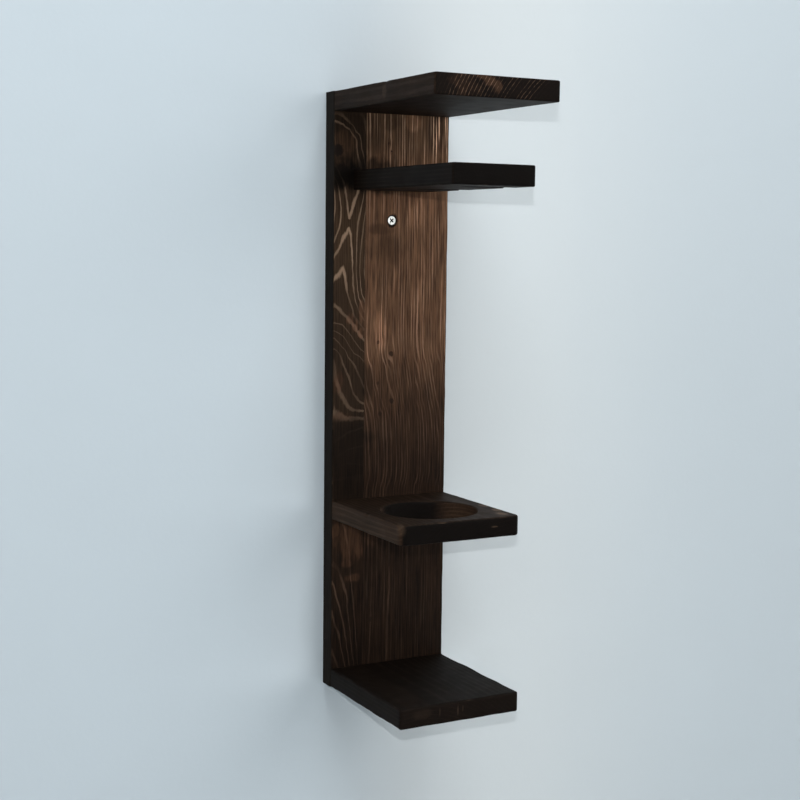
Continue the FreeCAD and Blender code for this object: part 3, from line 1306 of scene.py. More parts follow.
def outline(
    corners: Sequence[tuple[float, float, float]], step: float
) -> tuple[np.ndarray, list[np.ndarray]]:
    """Samples a closed outline whose corners are rounded.

    Args:
        corners: Each corner's place and its radius, 0 for a sharp one.
        step: Longest gap between two points.

    Returns:
        The points, and the corners that were rounded.
    """
    arc_steps, touching = 6, 0.01
    count = len(corners)
    ends: list[list[np.ndarray]] = []
    rounded = []
    for i in range(count):
        here = np.array(corners[i][:2], float)
        radius = corners[i][2]
        if radius <= 0:
            ends.append([here])
            continue
        back = np.array(corners[i - 1][:2], float) - here
        ahead = np.array(corners[(i + 1) % count][:2], float) - here
        back /= np.linalg.norm(back)
        ahead /= np.linalg.norm(ahead)
        centre = here + (back + ahead) * radius
        arc = []
        for turn in range(arc_steps + 1):
            angle = turn / arc_steps * math.pi / 2
            arc.append(centre - ahead * radius * math.cos(angle) - back * radius * math.sin(angle))
        ends.append(arc)
        rounded.append(here)
    points: list[np.ndarray] = []
    for i in range(count):
        points += ends[i]
        start, stop = ends[i][-1], ends[(i + 1) % count][0]
        gap = float(np.linalg.norm(stop - start))
        if gap < touching:
            points.pop()
        pieces = max(1, math.ceil(gap / step))
        points += [start + (stop - start) * k / pieces for k in range(1, pieces)]
    return np.array(points), rounded


def round_hole(centre: tuple[float, float], radius: float, pieces: int) -> np.ndarray:
    """A round hole's points.

    Args:
        centre: The hole's middle.
        radius: The hole's radius.
        pieces: How many points it has.

    Returns:
        The points, clockwise.
    """
    turns = -np.arange(pieces) / pieces * 2 * math.pi
    return np.column_stack([centre[0] + radius * np.cos(turns), centre[1] + radius * np.sin(turns)])


@dataclass(frozen=True)
class Dent:
    """A knock or a nick: its place, how wide and how deep it is."""

    place: tuple[float, float, float]
    radius: float
    depth: float


class Lies(Enum):
    """Which way a board lies, as the map from its own plane to the rack's axes."""

    UPRIGHT = "width along X, height along Z, front towards -Y"
    FLAT = "width along X, reach along Y, top towards +Z"

    def placed(self, plane: np.ndarray, height: np.ndarray) -> np.ndarray:
        """Points in the rack's axes.

        Args:
            plane: Points in the board's plane.
            height: Their height above the board's back or underside.

        Returns:
            The points in space.
        """
        if self is Lies.UPRIGHT:
            return np.column_stack([plane[:, 0], -height, plane[:, 1]])
        return np.column_stack([plane[:, 0], plane[:, 1], height])


@dataclass
class Board:
    """A board of stained pine: an outline with holes, eased edges, and a surface worked by hand."""

    node: str
    figure: Figure
    lies: Lies = Lies.FLAT
    rim: float = 1.5
    corner_radius: float = 2.6
    unevenness: float = 0.3
    edge_step: float = 2.0
    face_step: float = 3.2
    side_rows: int = 6
    # the surface's waves: how deep they are, and how far apart the slow and the quick ones
    wave_mm: float = 0.16
    slow_wave: float = 34.0
    quick_wave: float = 7.0
    # a row of points that holds the flat face just inside the rim
    hold: float = 0.55
    crease_degrees: float = 50.0
    dents: tuple[Dent, ...] = ()
    # rubbed spots, and patches of painted reflection
    rubs_and_sheen: tuple[Patch, ...] = ()
    edge_wear: float = 0.3
    seed: float = 0.0
    box: Box = field(init=False)

    def __post_init__(self) -> None:
        """Takes the board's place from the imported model."""
        self.box = Box.of_node(self.node)

    @property
    def base_height(self) -> float:
        """Where the board's back or underside lies across its thickness."""
        return -self.box.high.y if self.lies is Lies.UPRIGHT else self.box.low.z

    @property
    def thickness(self) -> float:
        """The board's thickness."""
        return self.box.size.y if self.lies is Lies.UPRIGHT else self.box.size.z

    def loops(self) -> list[Loop]:
        """The board's outer outline and its holes.

        Returns:
            The loops, the outer one first.
        """
        return [self.outer_loop(self.corners())]

    def corners(self) -> list[tuple[float, float, float]]:
        """The outer outline's corners, with the two that meet the back board left sharp."""
        low, high, turn = self.box.low, self.box.high, self.corner_radius
        return [(low.x, low.y, turn), (high.x, low.y, turn), (high.x, high.y, 0), (low.x, high.y, 0)]

    def outer_loop(self, corners: Sequence[tuple[float, float, float]]) -> Loop:
        """The outer loop from its corners.

        Args:
            corners: Each corner's place and radius.

        Returns:
            The loop.
        """
        touching, corner_limit = 0.01, 1.7
        points, rounded = outline(corners, self.edge_step)
        joint = self.box.high.y
        return Loop(
            points, Rim(self.rim), Rim(self.rim),
            keep_sharp=lambda middle: middle[1] > joint - touching,
            unevenness=self.unevenness, corner_limit=corner_limit, corners=rounded, seed=self.seed,
        )

    def mesh(self) -> bpy.types.Mesh:
        """Builds the board.

        Returns:
            The mesh, in place and in metres.
        """
        loops = self.loops()
        rows: list[list[np.ndarray]] = []
        heights: list[list[np.ndarray]] = []
        front_seed, back_seed = 0.0, 9.0
        for loop in loops:
            plane, level = [], []
            held, _ = loop.inset(loop.front, 1.0, self.hold, front_seed)
            plane.append(held)
            level.append(np.full(len(held), self.thickness))
            for into, down in loop.front.profile():
                moved, size = loop.inset(loop.front, into, 0.0, front_seed)
                plane.append(moved)
                level.append(self.thickness - size * down)
            top = level[-1]
            lower = []
            for into, down in loop.back.profile():
                moved, size = loop.inset(loop.back, into, 0.0, back_seed)
                lower.append((moved, size * down))
            bottom = lower[-1][1]
            for share in np.linspace(0, 1, self.side_rows + 2)[1:-1]:
                plane.append(loop.points)
                level.append(top + (bottom - top) * share)
            for moved, height in reversed(lower):
                plane.append(moved)
                level.append(height)
            held, _ = loop.inset(loop.back, 1.0, self.hold, back_seed)
            plane.append(held)
            level.append(np.zeros(len(held)))
            rows.append(plane)
            heights.append(level)
        return self.joined(loops, rows, heights)

    def joined(
        self, loops: list[Loop], rows: list[list[np.ndarray]], heights: list[list[np.ndarray]]
    ) -> bpy.types.Mesh:
        """Joins the sides of all loops with the two faces and works the surface.

        Args:
            loops: The loops.
            rows: For each loop its rows of points, from the front face to the back one.
            heights: The rows' heights.

        Returns:
            The finished mesh.
        """
        plane, height, faces = [], [], []
        first_rows, last_rows = [], []
        start = 0
        for loop, loop_rows, loop_heights in zip(loops, rows, heights):
            count = len(loop.points)
            for points, level in zip(loop_rows, loop_heights):
                plane.append(points)
                height.append(level)
            for row in range(len(loop_rows) - 1):
                a, b = start + row * count, start + (row + 1) * count
                for i in range(count):
                    j = (i + 1) % count
                    faces.append((a + i, b + i, b + j, a + j))
            first_rows.append(list(range(start, start + count)))
            last = start + (len(loop_rows) - 1) * count
            last_rows.append(list(range(last, last + count)))
            start += count * len(loop_rows)
        ring_points = np.vstack(plane)
        inner = self.inner_points(rows[0][0], [r[0] for r in rows[1:]])
        plane += [inner, inner]
        height += [np.full(len(inner), self.thickness), np.zeros(len(inner))]
        for ends, offset, flip in ((first_rows, start, False), (last_rows, start + len(inner), True)):
            numbers = [i for ring in ends for i in ring]
            local = {number: k for k, number in enumerate(numbers)}
            points = np.vstack([ring_points[numbers], inner])
            names = numbers + list(range(offset, offset + len(inner)))
            for triangle in filled(points, [[local[i] for i in ring] for ring in ends]):
                face = tuple(names[i] for i in triangle)
                faces.append(face[::-1] if flip else face)
        placed = self.lies.placed(np.vstack(plane), np.concatenate(height) + self.base_height)
        return self.worked(placed, faces)

    def inner_points(self, outer: np.ndarray, holes: list[np.ndarray]) -> np.ndarray:
        """Loose points inside the outline, on a grid, clear of every loop.

        Args:
            outer: The outer loop's points.
            holes: The holes' points.

        Returns:
            The loose points.
        """
        clear_share = 0.6
        clear = (clear_share * self.face_step) ** 2
        low, high = outer.min(axis=0), outer.max(axis=0)
        counts = np.maximum(np.ceil((high - low) / self.face_step).astype(int), 2)
        across = np.linspace(low[0], high[0], counts[0] + 1)[1:-1]
        up = np.linspace(low[1], high[1], counts[1] + 1)[1:-1]
        grid = np.array([(u, v) for v in up for u in across])
        keep = np.ones(len(grid), bool)
        for ring, wanted in [(outer, True)] + [(hole, False) for hole in holes]:
            keep &= inside(grid, ring) == wanted
            for i, point in enumerate(grid):
                if keep[i] and np.min(np.sum((ring - point) ** 2, axis=1)) < clear:
                    keep[i] = False
        return grid[keep]

    def worked(self, points: np.ndarray, faces: list[tuple[int, ...]]) -> bpy.types.Mesh:
        """Makes the mesh and gives its surface the plane's waves, the dents and smooth shading.

        Args:
            points: The points in millimetres.
            faces: The faces' point numbers.

        Returns:
            The finished mesh, in metres.
        """
        same_place, no_length = 0.002, 0.001
        slow_share, quick_share = 0.7, 0.3
        mesh = bpy.data.meshes.new(self.node)
        mesh.from_pydata([tuple(p) for p in points], [], faces)
        work = bmesh.new()
        work.from_mesh(mesh)
        bmesh.ops.remove_doubles(work, verts=work.verts, dist=same_place)
        bmesh.ops.dissolve_degenerate(work, edges=work.edges, dist=no_length)
        loose = [v for v in work.verts if not v.link_faces]
        bmesh.ops.delete(work, geom=loose, context="VERTS")
        work.normal_update()
        shifts = []
        for vert in work.verts:
            place = vert.co
            slow = noise.noise(place / self.slow_wave + Vector((self.seed, 0, 0))) * 0.5 + 0.5
            quick = noise.noise(place / self.quick_wave + Vector((0, self.seed, 0))) * 0.5 + 0.5
            depth = self.wave_mm * (slow_share * slow + quick_share * quick)
            for dent in self.dents:
                far = (place - Vector(dent.place)).length / dent.radius
                if far < 1:
                    depth += dent.depth * (1 - far * far) ** 2
            shifts.append(vert.normal * -depth)
        for vert, shift in zip(work.verts, shifts):
            vert.co += shift
        for face in work.faces:
            face.smooth = True
        work.to_mesh(mesh)
        work.free()
        mesh.transform(Matrix.Scale(MM, 4))
        mesh.set_sharp_from_angle(angle=math.radians(self.crease_degrees))
        mesh.validate()
        return mesh

    def build(self, pine: StainedPine) -> bpy.types.Object:
        """Makes the board, finishes it and puts it in the frame.

        Args:
            pine: The finish.

        Returns:
            The finished piece.
        """
        piece = link_mesh(f"{self.node}.wood", self.mesh())
        piece.data.materials.append(pine.material(f"stained_pine.{self.node}", self))
        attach(piece, BODY)
        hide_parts(self.node)
        return piece


def inside(points: np.ndarray, ring: np.ndarray) -> np.ndarray:
    """Which points lie inside a closed outline.

    Args:
        points: The points.
        ring: The outline's points.

    Returns:
        True for each point inside.
    """
    hit = np.zeros(len(points), bool)
    ahead = np.roll(ring, -1, axis=0)
    for (x1, y1), (x2, y2) in zip(ring, ahead):
        if y1 == y2:
            continue
        crosses = (y1 > points[:, 1]) != (y2 > points[:, 1])
        at = x1 + (points[:, 1] - y1) * (x2 - x1) / (y2 - y1)
        hit ^= crosses & (points[:, 0] < at)
    return hit


@dataclass
class BackBoard(Board):
    """The tall board, with countersunk holes from behind and one from the front."""

    hole_radius: float = 2.5
    hole_points: int = 28
    head_radius: float = 4.0
    head_rim: float = 0.3
    plain_rim: float = 0.1
    saw_rim: float = 0.3
    rear_screws: tuple[str, ...] = (
        "top_shelf_screws", "glass_shelf_screws", "collar_shelf_screws", "base_shelf_screws",
    )

    def corners(self) -> list[tuple[float, float, float]]:
        """The outer outline's corners, all sharp: the board was sawn to length and not rounded."""
        low, high = self.box.low, self.box.high
        return [(low.x, low.z, 0), (high.x, low.z, 0), (high.x, high.z, 0), (low.x, high.z, 0)]

    def outer_loop(self, corners: Sequence[tuple[float, float, float]]) -> Loop:
        """The outer loop, eased along its two upright front edges only.

        Args:
            corners: Each corner's place and radius.

        Returns:
            The loop.
        """
        touching = 0.01
        points, _ = outline(corners, self.edge_step)
        low, high = self.box.low, self.box.high
        return Loop(
            points, Rim(self.rim), Rim(self.saw_rim),
            keep_sharp=lambda middle: not low.z + touching < middle[1] < high.z - touching,
            unevenness=self.unevenness,
            corners=[np.array(c[:2]) for c in corners], seed=self.seed,
        )

    def loops(self) -> list[Loop]:
        """The board's outline, the screws' holes from behind and the one from the front.

        Returns:
            The loops, the outer one first.
        """
        made = super().loops()
        for name in self.rear_screws:
            screws = Box.of_node(name)
            cone = self.head_radius + self.head_rim - screws.high.y - self.hole_radius
            for x in (screws.low.x + self.head_radius, screws.high.x - self.head_radius):
                ring = round_hole((x, screws.middle.z), self.hole_radius, self.hole_points)
                made.append(Loop(ring, Rim(self.plain_rim), Rim(cone, cone=True)))
        hanger = Box.of_node("wall_screw")
        sunk = hanger.low.y - self.box.low.y
        cone = self.head_radius + self.head_rim + sunk - self.hole_radius
        ring = round_hole((hanger.middle.x, hanger.middle.z), self.hole_radius, self.hole_points)
        made.append(Loop(ring, Rim(cone, cone=True), Rim(self.plain_rim)))
        return made


@dataclass
class SlottedShelf(Board):
    """The narrow shelf, with two slots that open at its right hand edge."""

    slot_width: float = 16.0
    slot_setback: float = 40.0
    slot_spacing: float = 76.0

    def loops(self) -> list[Loop]:
        """The board's outline with the slots in it.

        Returns:
            One loop.
        """
        low, high, turn = self.box.low, self.box.high, self.corner_radius
        half = self.slot_width / 2
        front = low.y + self.slot_setback
        corners = [(low.x, low.y, turn), (high.x, low.y, turn)]
        for middle in (front, front + self.slot_spacing):
            corners += [
                (high.x, middle - half, turn), (-half, middle - half, half),
                (-half, middle + half, half), (high.x, middle + half, turn),
            ]
        corners += [(high.x, high.y, 0), (low.x, high.y, 0)]
        return [self.outer_loop(corners)]


@dataclass
class CollarShelf(Board):
    """The shelf with a large round hole."""

    hole_radius: float = 43.5
    hole_margin: float = 15.5
    hole_points: int = 136

    def loops(self) -> list[Loop]:
        """The board's outline and its hole.

        Returns:
            Two loops.
        """
        middle = self.box.low.y + self.hole_margin + self.hole_radius
        ring = round_hole((0.0, middle), self.hole_radius, self.hole_points)
        hole = Loop(ring, Rim(self.rim), Rim(self.rim), unevenness=self.unevenness, seed=self.seed + 3)
        return super().loops() + [hole]


@dataclass
class Recess:
    """A cross recess that narrows towards its bottom."""

    span: float = 4.8
    slot: float = 1.15
    depth: float = 2.2
    taper: float = 0.6
    # how much of the slot's width goes with the taper
    slot_taper: float = 0.6

    def ring(self, share: float) -> np.ndarray:
        """The cross's outline.

        Args:
            share: Its size as a share of the full one.

        Returns:
            Twelve points, clockwise.
        """
        far = self.span / 2 * share
        near = self.slot / 2 * (1 - self.slot_taper + self.slot_taper * share)
        quarter = [(far, near), (far, -near), (near, -near)]
        turned = []
        for turn in range(4):
            angle = -turn * math.pi / 2
            cos, sin = math.cos(angle), math.sin(angle)
            turned += [(x * cos - y * sin, x * sin + y * cos) for x, y in quarter]
        return np.array(turned)


@dataclass
class ScrewSet:
    """Wood screws of one node: a turned body with a cross recess, and a thread wound on it."""

    node: str
    length: float
    thread_length: float
    head_towards: float = 1.0
    count: int = 2
    head_radius: float = 4.0
    head_rim: float = 0.3
    core_radius: float = 1.45
    thread_radius: float = 2.0
    pitch: float = 1.8
    point: float = 5.0
    around: int = 40
    steps_a_turn: int = 20
    ridge_sides: int = 4
    crease_degrees: float = 35.0
    # how far a screw may stand turned, in degrees
    turns: tuple[float, float] = (0.0, 360.0)
    recess: Recess = field(default_factory=Recess)
    seed: int = 1

    def body_mesh(self) -> bpy.types.Mesh:
        """One screw without its thread, with the top of its head at the origin and its tip below.

        Returns:
            The mesh, in metres.
        """
        # the head's eased edge, and where its cone starts to curve into the neck and ends
        ease_in, ease_down = 0.12, 0.1
        curve_start, neck_end = 0.75, 1.15
        # the tip: its blunt end, and the radius a little above it
        blunt, slim, slim_above = 0.06, 0.75, 1.6
        cone = self.head_radius - self.core_radius
        profile = [
            (self.head_radius - ease_in, 0.0), (self.head_radius, -ease_down),
            (self.head_radius, -self.head_rim),
            (self.core_radius + cone * (1 - curve_start), -self.head_rim - cone * curve_start),
            (self.core_radius, -self.head_rim - cone * neck_end),
            (self.core_radius, -self.length + self.point),
            (slim, -self.length + slim_above), (blunt, -self.length),
        ]
        around = self.around
        turns = np.arange(around) / around * 2 * math.pi
        ring = np.column_stack([np.cos(turns), np.sin(turns)])
        points = [np.column_stack([ring * radius, np.full(around, z)]) for radius, z in profile]
        faces = []
        for row in range(len(profile) - 1):
            a, b = row * around, (row + 1) * around
            faces += [
                (a + i, b + i, b + (i + 1) % around, a + (i + 1) % around) for i in range(around)
            ]
        tip = (len(profile) - 1) * around
        faces.append(tuple(range(tip, tip + around))[::-1])
        start = len(profile) * around
        sides = 12
        for share, z in ((1.0, 0.0), (self.recess.taper, -self.recess.depth)):
            cross = self.recess.ring(share)
            points.append(np.column_stack([cross, np.full(sides, z)]))
        faces += [
            (start + i, start + sides + i, start + sides + (i + 1) % sides, start + (i + 1) % sides)
            for i in range(sides)
        ]
        placed = np.vstack(points)
        top = list(range(around)) + list(range(start, start + sides))
        flat = placed[top][:, :2]
        for face in filled(flat, [list(range(around)), list(range(around, around + sides))]):
            faces.append(tuple(top[i] for i in face))
        floor = list(range(start + sides, start + 2 * sides))
        for face in filled(placed[floor][:, :2], [list(range(sides))]):
            faces.append(tuple(floor[i] for i in face))
        mesh = bpy.data.meshes.new(f"{self.node}.body")
        mesh.from_pydata([tuple(p * MM) for p in placed], [], faces)
        for polygon in mesh.polygons:
            polygon.use_smooth = True
        mesh.set_sharp_from_angle(angle=math.radians(self.crease_degrees))
        # marks the recess floor, where painted shade goes
        recess_shade = mesh.attributes.new("recess_shade", "FLOAT", "POINT")
        recess_shade.data.foreach_set("value", [float(number in floor) for number in range(len(placed))])
        return mesh

    def tree(self) -> bpy.types.NodeTree:
        """The tree that winds the thread on the body and sets the screws in their row.

        Returns:
            The node tree.
        """
        tree = bpy.data.node_groups.new(f"{self.node}.row", "GeometryNodeTree")
        inputs = {
            "Geometry": ("Geometry",), "Object": ("Body",), "Int": ("Count", "Seed"),
            "Vector": ("First", "Step"), "Material": ("Finish",),
            "Float": (
                "Lean", "Thread Radius", "Ridge", "Thread Start", "Thread Height", "Turns",
                "Least Turn", "Most Turn",
            ),
        }
        for kind, names in inputs.items():
            for name in names:
                tree.interface.new_socket(name=name, in_out="INPUT", socket_type=f"NodeSocket{kind}")
        tree.interface.new_socket(name="Geometry", in_out="OUTPUT", socket_type="NodeSocketGeometry")
        given = tree.nodes.new("NodeGroupInput").outputs

        def add(
            kind: str, links: dict[Union[str, int], bpy.types.NodeSocket], **settings: object
        ) -> bpy.types.Node:
            """Adds a node, sets its properties and links its inputs.

            Args:
                kind: Blender's type name of the node.
                links: The input's name or number, and the output that feeds it.
                **settings: Properties of the node and their values.

            Returns:
                The new node.
            """
            made = tree.nodes.new(kind)
            for name, value in settings.items():
                setattr(made, name, value)
            for socket, source in links.items():
                tree.links.new(source, made.inputs[socket])
            return made

        spiral = add("GeometryNodeCurveSpiral", {
            "Rotations": given["Turns"], "Start Radius": given["Thread Radius"],
            "End Radius": given["Thread Radius"], "Height": given["Thread Height"],
        })
        spiral.inputs["Resolution"].default_value = self.steps_a_turn
        upright = add("GeometryNodeSetCurveNormal", {"Curve": spiral.outputs["Curve"]}, mode="Z_UP")
        ridge = add("GeometryNodeCurvePrimitiveCircle", {"Radius": given["Ridge"]})
        ridge.inputs["Resolution"].default_value = self.ridge_sides
        wound = add("GeometryNodeCurveToMesh", {
            "Curve": upright.outputs["Curve"], "Profile Curve": ridge.outputs["Curve"],
        })
        wound.inputs["Fill Caps"].default_value = True
        low = add("ShaderNodeCombineXYZ", {"Z": given["Thread Start"]})
        lowered = add("GeometryNodeTransform", {
            "Geometry": wound.outputs["Mesh"], "Translation": low.outputs["Vector"],
        })
        body = add("GeometryNodeObjectInfo", {"Object": given["Body"]})
        screw = add("GeometryNodeJoinGeometry", {"Geometry": body.outputs["Geometry"]})
        tree.links.new(lowered.outputs["Geometry"], screw.inputs["Geometry"])
        row = add("GeometryNodeMeshLine", {
            "Count": given["Count"], "Start Location": given["First"], "Offset": given["Step"],
        })
        least, most = 2, 3
        turn = add(
            "FunctionNodeRandomValue",
            {least: given["Least Turn"], most: given["Most Turn"], "Seed": given["Seed"]}, data_type="FLOAT",
        )
        twist = add("ShaderNodeCombineXYZ", {"Z": turn.outputs[1]})
        lean = add("ShaderNodeCombineXYZ", {"X": given["Lean"]})
        each = add("GeometryNodeInstanceOnPoints", {
            "Points": row.outputs["Mesh"], "Instance": screw.outputs["Geometry"],
            "Rotation": lean.outputs["Vector"],
        })
        turned = add("GeometryNodeRotateInstances", {
            "Instances": each.outputs["Instances"], "Rotation": twist.outputs["Vector"],
        })
        turned.inputs["Local Space"].default_value = True
        real = add("GeometryNodeRealizeInstances", {"Geometry": turned.outputs["Instances"]})
        coat = add("GeometryNodeSetMaterial", {
            "Geometry": real.outputs["Geometry"], "Material": given["Finish"],
        })
        add("NodeGroupOutput", {"Geometry": coat.outputs["Geometry"]})
        return tree

    def settings(self, body: bpy.types.Object, zinc: bpy.types.Material) -> dict[str, object]:
        """The tree's inputs by name.

        Args:
            body: The screw's body.
            zinc: The plating.

        Returns:
            Each input's value, in metres where it is a length.
        """
        box = Box.of_node(self.node)
        head_y = box.high.y if self.head_towards > 0 else box.low.y
        first_x = box.low.x + self.head_radius
        step = (box.size.x - 2 * self.head_radius) / max(self.count - 1, 1)
        height = self.thread_length - self.point
        ridge = self.thread_radius - self.core_radius
        return {
            "Body": body,
            "Count": self.count,
            "First": (first_x * MM, head_y * MM, box.middle.z * MM),
            "Step": (step * MM, 0.0, 0.0),
            "Lean": -self.head_towards * math.pi / 2,
            "Thread Radius": self.core_radius * MM,
            "Ridge": ridge * MM,
            "Thread Start": (-self.length + self.point) * MM,
            "Thread Height": height * MM,
            "Turns": height / self.pitch,
            "Finish": zinc,
            "Seed": self.seed,
            "Least Turn": math.radians(self.turns[0]),
            "Most Turn": math.radians(self.turns[1]),
        }

    def build(self, zinc: bpy.types.Material) -> bpy.types.Object:
        """Makes the screws, finishes them and puts them in the frame.

        Args:
            zinc: The plating.

        Returns:
            The finished piece.
        """
        body = link_mesh(f"{self.node}.pattern", self.body_mesh())
        holder = link_mesh(f"{self.node}.holder", bpy.data.meshes.new("holder"))
        tree = self.tree()
        modifier = holder.modifiers.new("row", "NODES")
        modifier.node_group = tree
        values = self.settings(body, zinc)
        for item in tree.interface.items_tree:
            if item.in_out == "INPUT" and item.name in values:
                modifier[item.identifier] = values[item.name]
        evaluated = holder.evaluated_get(bpy.context.evaluated_depsgraph_get())
        mesh = bpy.data.meshes.new_from_object(evaluated)
        holder.modifiers.clear()
        for spare in (holder, body):
            bpy.data.objects.remove(spare)
        piece = link_mesh(f"{self.node}.steel", mesh)
        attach(piece, BODY)
        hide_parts(self.node)
        return piece


@dataclass
class Rack:
    """The whole rack: five boards and five sets of screws."""

    pine: StainedPine = field(default_factory=StainedPine)
    zinc: ZincSteel = field(default_factory=ZincSteel)

    def boards(self) -> list[Board]:
        """The boards with what is particular to each.

        Returns:
            The boards.
        """
        return [
            BackBoard(
                "back_board", BackBoardFigure(), lies=Lies.UPRIGHT, unevenness=0.35, seed=1.0,
                dents=(Dent((-60.0, -17.5, 3.0), 5.0, 1.2), Dent((-59.5, -18.0, 520.0), 6.0, 0.5)),
            ),
            Board(
                "top_shelf",
                ShelfFigure(
                    130.0, 455.0, 3.3, seed=2.0, side_level=0.28, end_level=0.08, face_level=0.155,
                    wander=0.8, end_brightness=0.3,
                    end_contrast=(
                        (34, 0.02), (37.6, 0.03), (38.4, 0.3), (39.2, 0.45), (40.2, 0.6), (41.4, 0.5),
                        (42.4, 0.2), (43.2, 0.05), (44.4, 0.5), (46, 0.55), (47.2, 0.15), (48, 0.25),
                        (50, 0.55), (51.6, 0.7), (52.6, 0.45), (54.6, 0.7), (56.4, 0.65), (58, 0.65),
                        (59.4, 0.4), (60.4, 0.08), (65, 0.03),
                    ),
                    warm_parts=(
                        tint(-17.0, 551.0, 9.0, 5.0, 1.0, TOP_END),
                        tint(-9.0, 547.5, 9.0, 6.0, 1.0, TOP_END),
                        tint(-2.0, 543.5, 6.0, 6.5, 1.0, TOP_END),
                        tint(-32.0, 545.0, 17.0, 12.0, 0.3, TOP_END),
                    ),
                ),
                rubs_and_sheen=(Patch((-60.0, -114.0, 544.0), (3.0, 5.5, 9.0), 0.16),),
                dents=(Dent((-60.0, -116.0, 552.0), 5.0, 0.6),), seed=2.0,
            ),
            SlottedShelf(
                "glass_shelf",
                ShelfFigure(-20.0, 380.0, 3.4, seed=11.0, side_level=0.1, end_level=0.035, face_level=0.095),
                seed=3.0,
            ),
            CollarShelf(
                "collar_shelf",
                ShelfFigure(60.0, 60.0, 3.6, seed=17.0, side_level=0.55, end_level=0.048, face_level=0.23),
                dents=(Dent((-60.0, -90.0, 178.0), 4.0, 1.0), Dent((-59.0, -152.0, 178.0), 7.0, 1.4)),
                rubs_and_sheen=(
                    # the first three are painted reflection of the backdrop on the collar's top, by its
                    # right hand edge
                    Patch((49.0, -140.0, 178.0), (6.0, 8.0, 3.0), 0.7),
                    Patch((54.5, -122.0, 178.0), (4.5, 8.0, 3.0), 0.6),
                    Patch((55.0, -99.0, 178.0), (4.5, 9.0, 3.0), 0.5),
                    Patch((-58.5, -150.0, 175.0), (4.5, 8.0, 8.0), 0.15),
                    Patch((-20.0, -154.0, 178.0), (8.0, 2.0, 1.4), 0.45),
                    Patch((33.0, -154.0, 170.0), (4.5, 2.0, 1.0), 0.3),
                ),
                rim=2.0, corner_radius=6.5, seed=4.0,
            ),
            Board(
                "base_shelf",
                ShelfFigure(-40.0, -90.0, 3.6, seed=23.0, side_level=0.105, end_level=0.1, face_level=0.078),
                rim=2.0, unevenness=0.55,
                rubs_and_sheen=(
                    Patch((-38.0, BASE_END, 11.0), (11.0, 2.0, 5.0), 0.05),
                    Patch((-20.8, BASE_END, 11.0), (0.9, 2.0, 5.0), 0.12),
                    Patch((-2.6, BASE_END, 10.0), (0.8, 2.0, 6.0), 0.22),
                    Patch((2.4, BASE_END, 11.0), (0.7, 2.0, 4.0), 0.15),
                ),
                seed=5.0,
            ),
        ]

    def screws(self) -> list[ScrewSet]:
        """The sets of screws.

        Returns:
            The sets.
        """
        shelf = [
            ScrewSet(name, 50.0, 30.0, seed=number)
            for number, name in enumerate(BackBoard.rear_screws, start=3)
        ]
        hanger = ScrewSet("wall_screw", 60.0, 36.0, head_towards=-1.0, count=1, turns=(40.0, 50.0), seed=9)
        return shelf + [hanger]

    def build(self) -> None:
        """Makes every piece and reports it."""
        for board in self.boards():
            report(board.build(self.pine))
        zinc = self.zinc.material("zinc_steel")
        for screws in self.screws():
            report(screws.build(zinc))


@dataclass(frozen=True)
class SoftLamp:
    """A soft square lamp: its place and aim in metres, its power, its side in metres and its colour."""

    name: str
    place: tuple[float, float, float]
    aim: tuple[float, float, float]
    watts: float
    side: float
    colour: Colour

    def hang(self) -> None:
        """Puts the lamp in the scene."""
        light = bpy.data.lights.new(self.name, "AREA")
        light.energy = self.watts
        light.size = self.side
        light.color = self.colour
        made = bpy.data.objects.new(self.name, light)
        made.location = self.place
        made.rotation_euler = (Vector(self.aim) - Vector(self.place)).to_track_quat("-Z", "Y").to_euler()
        bpy.context.scene.collection.objects.link(made)


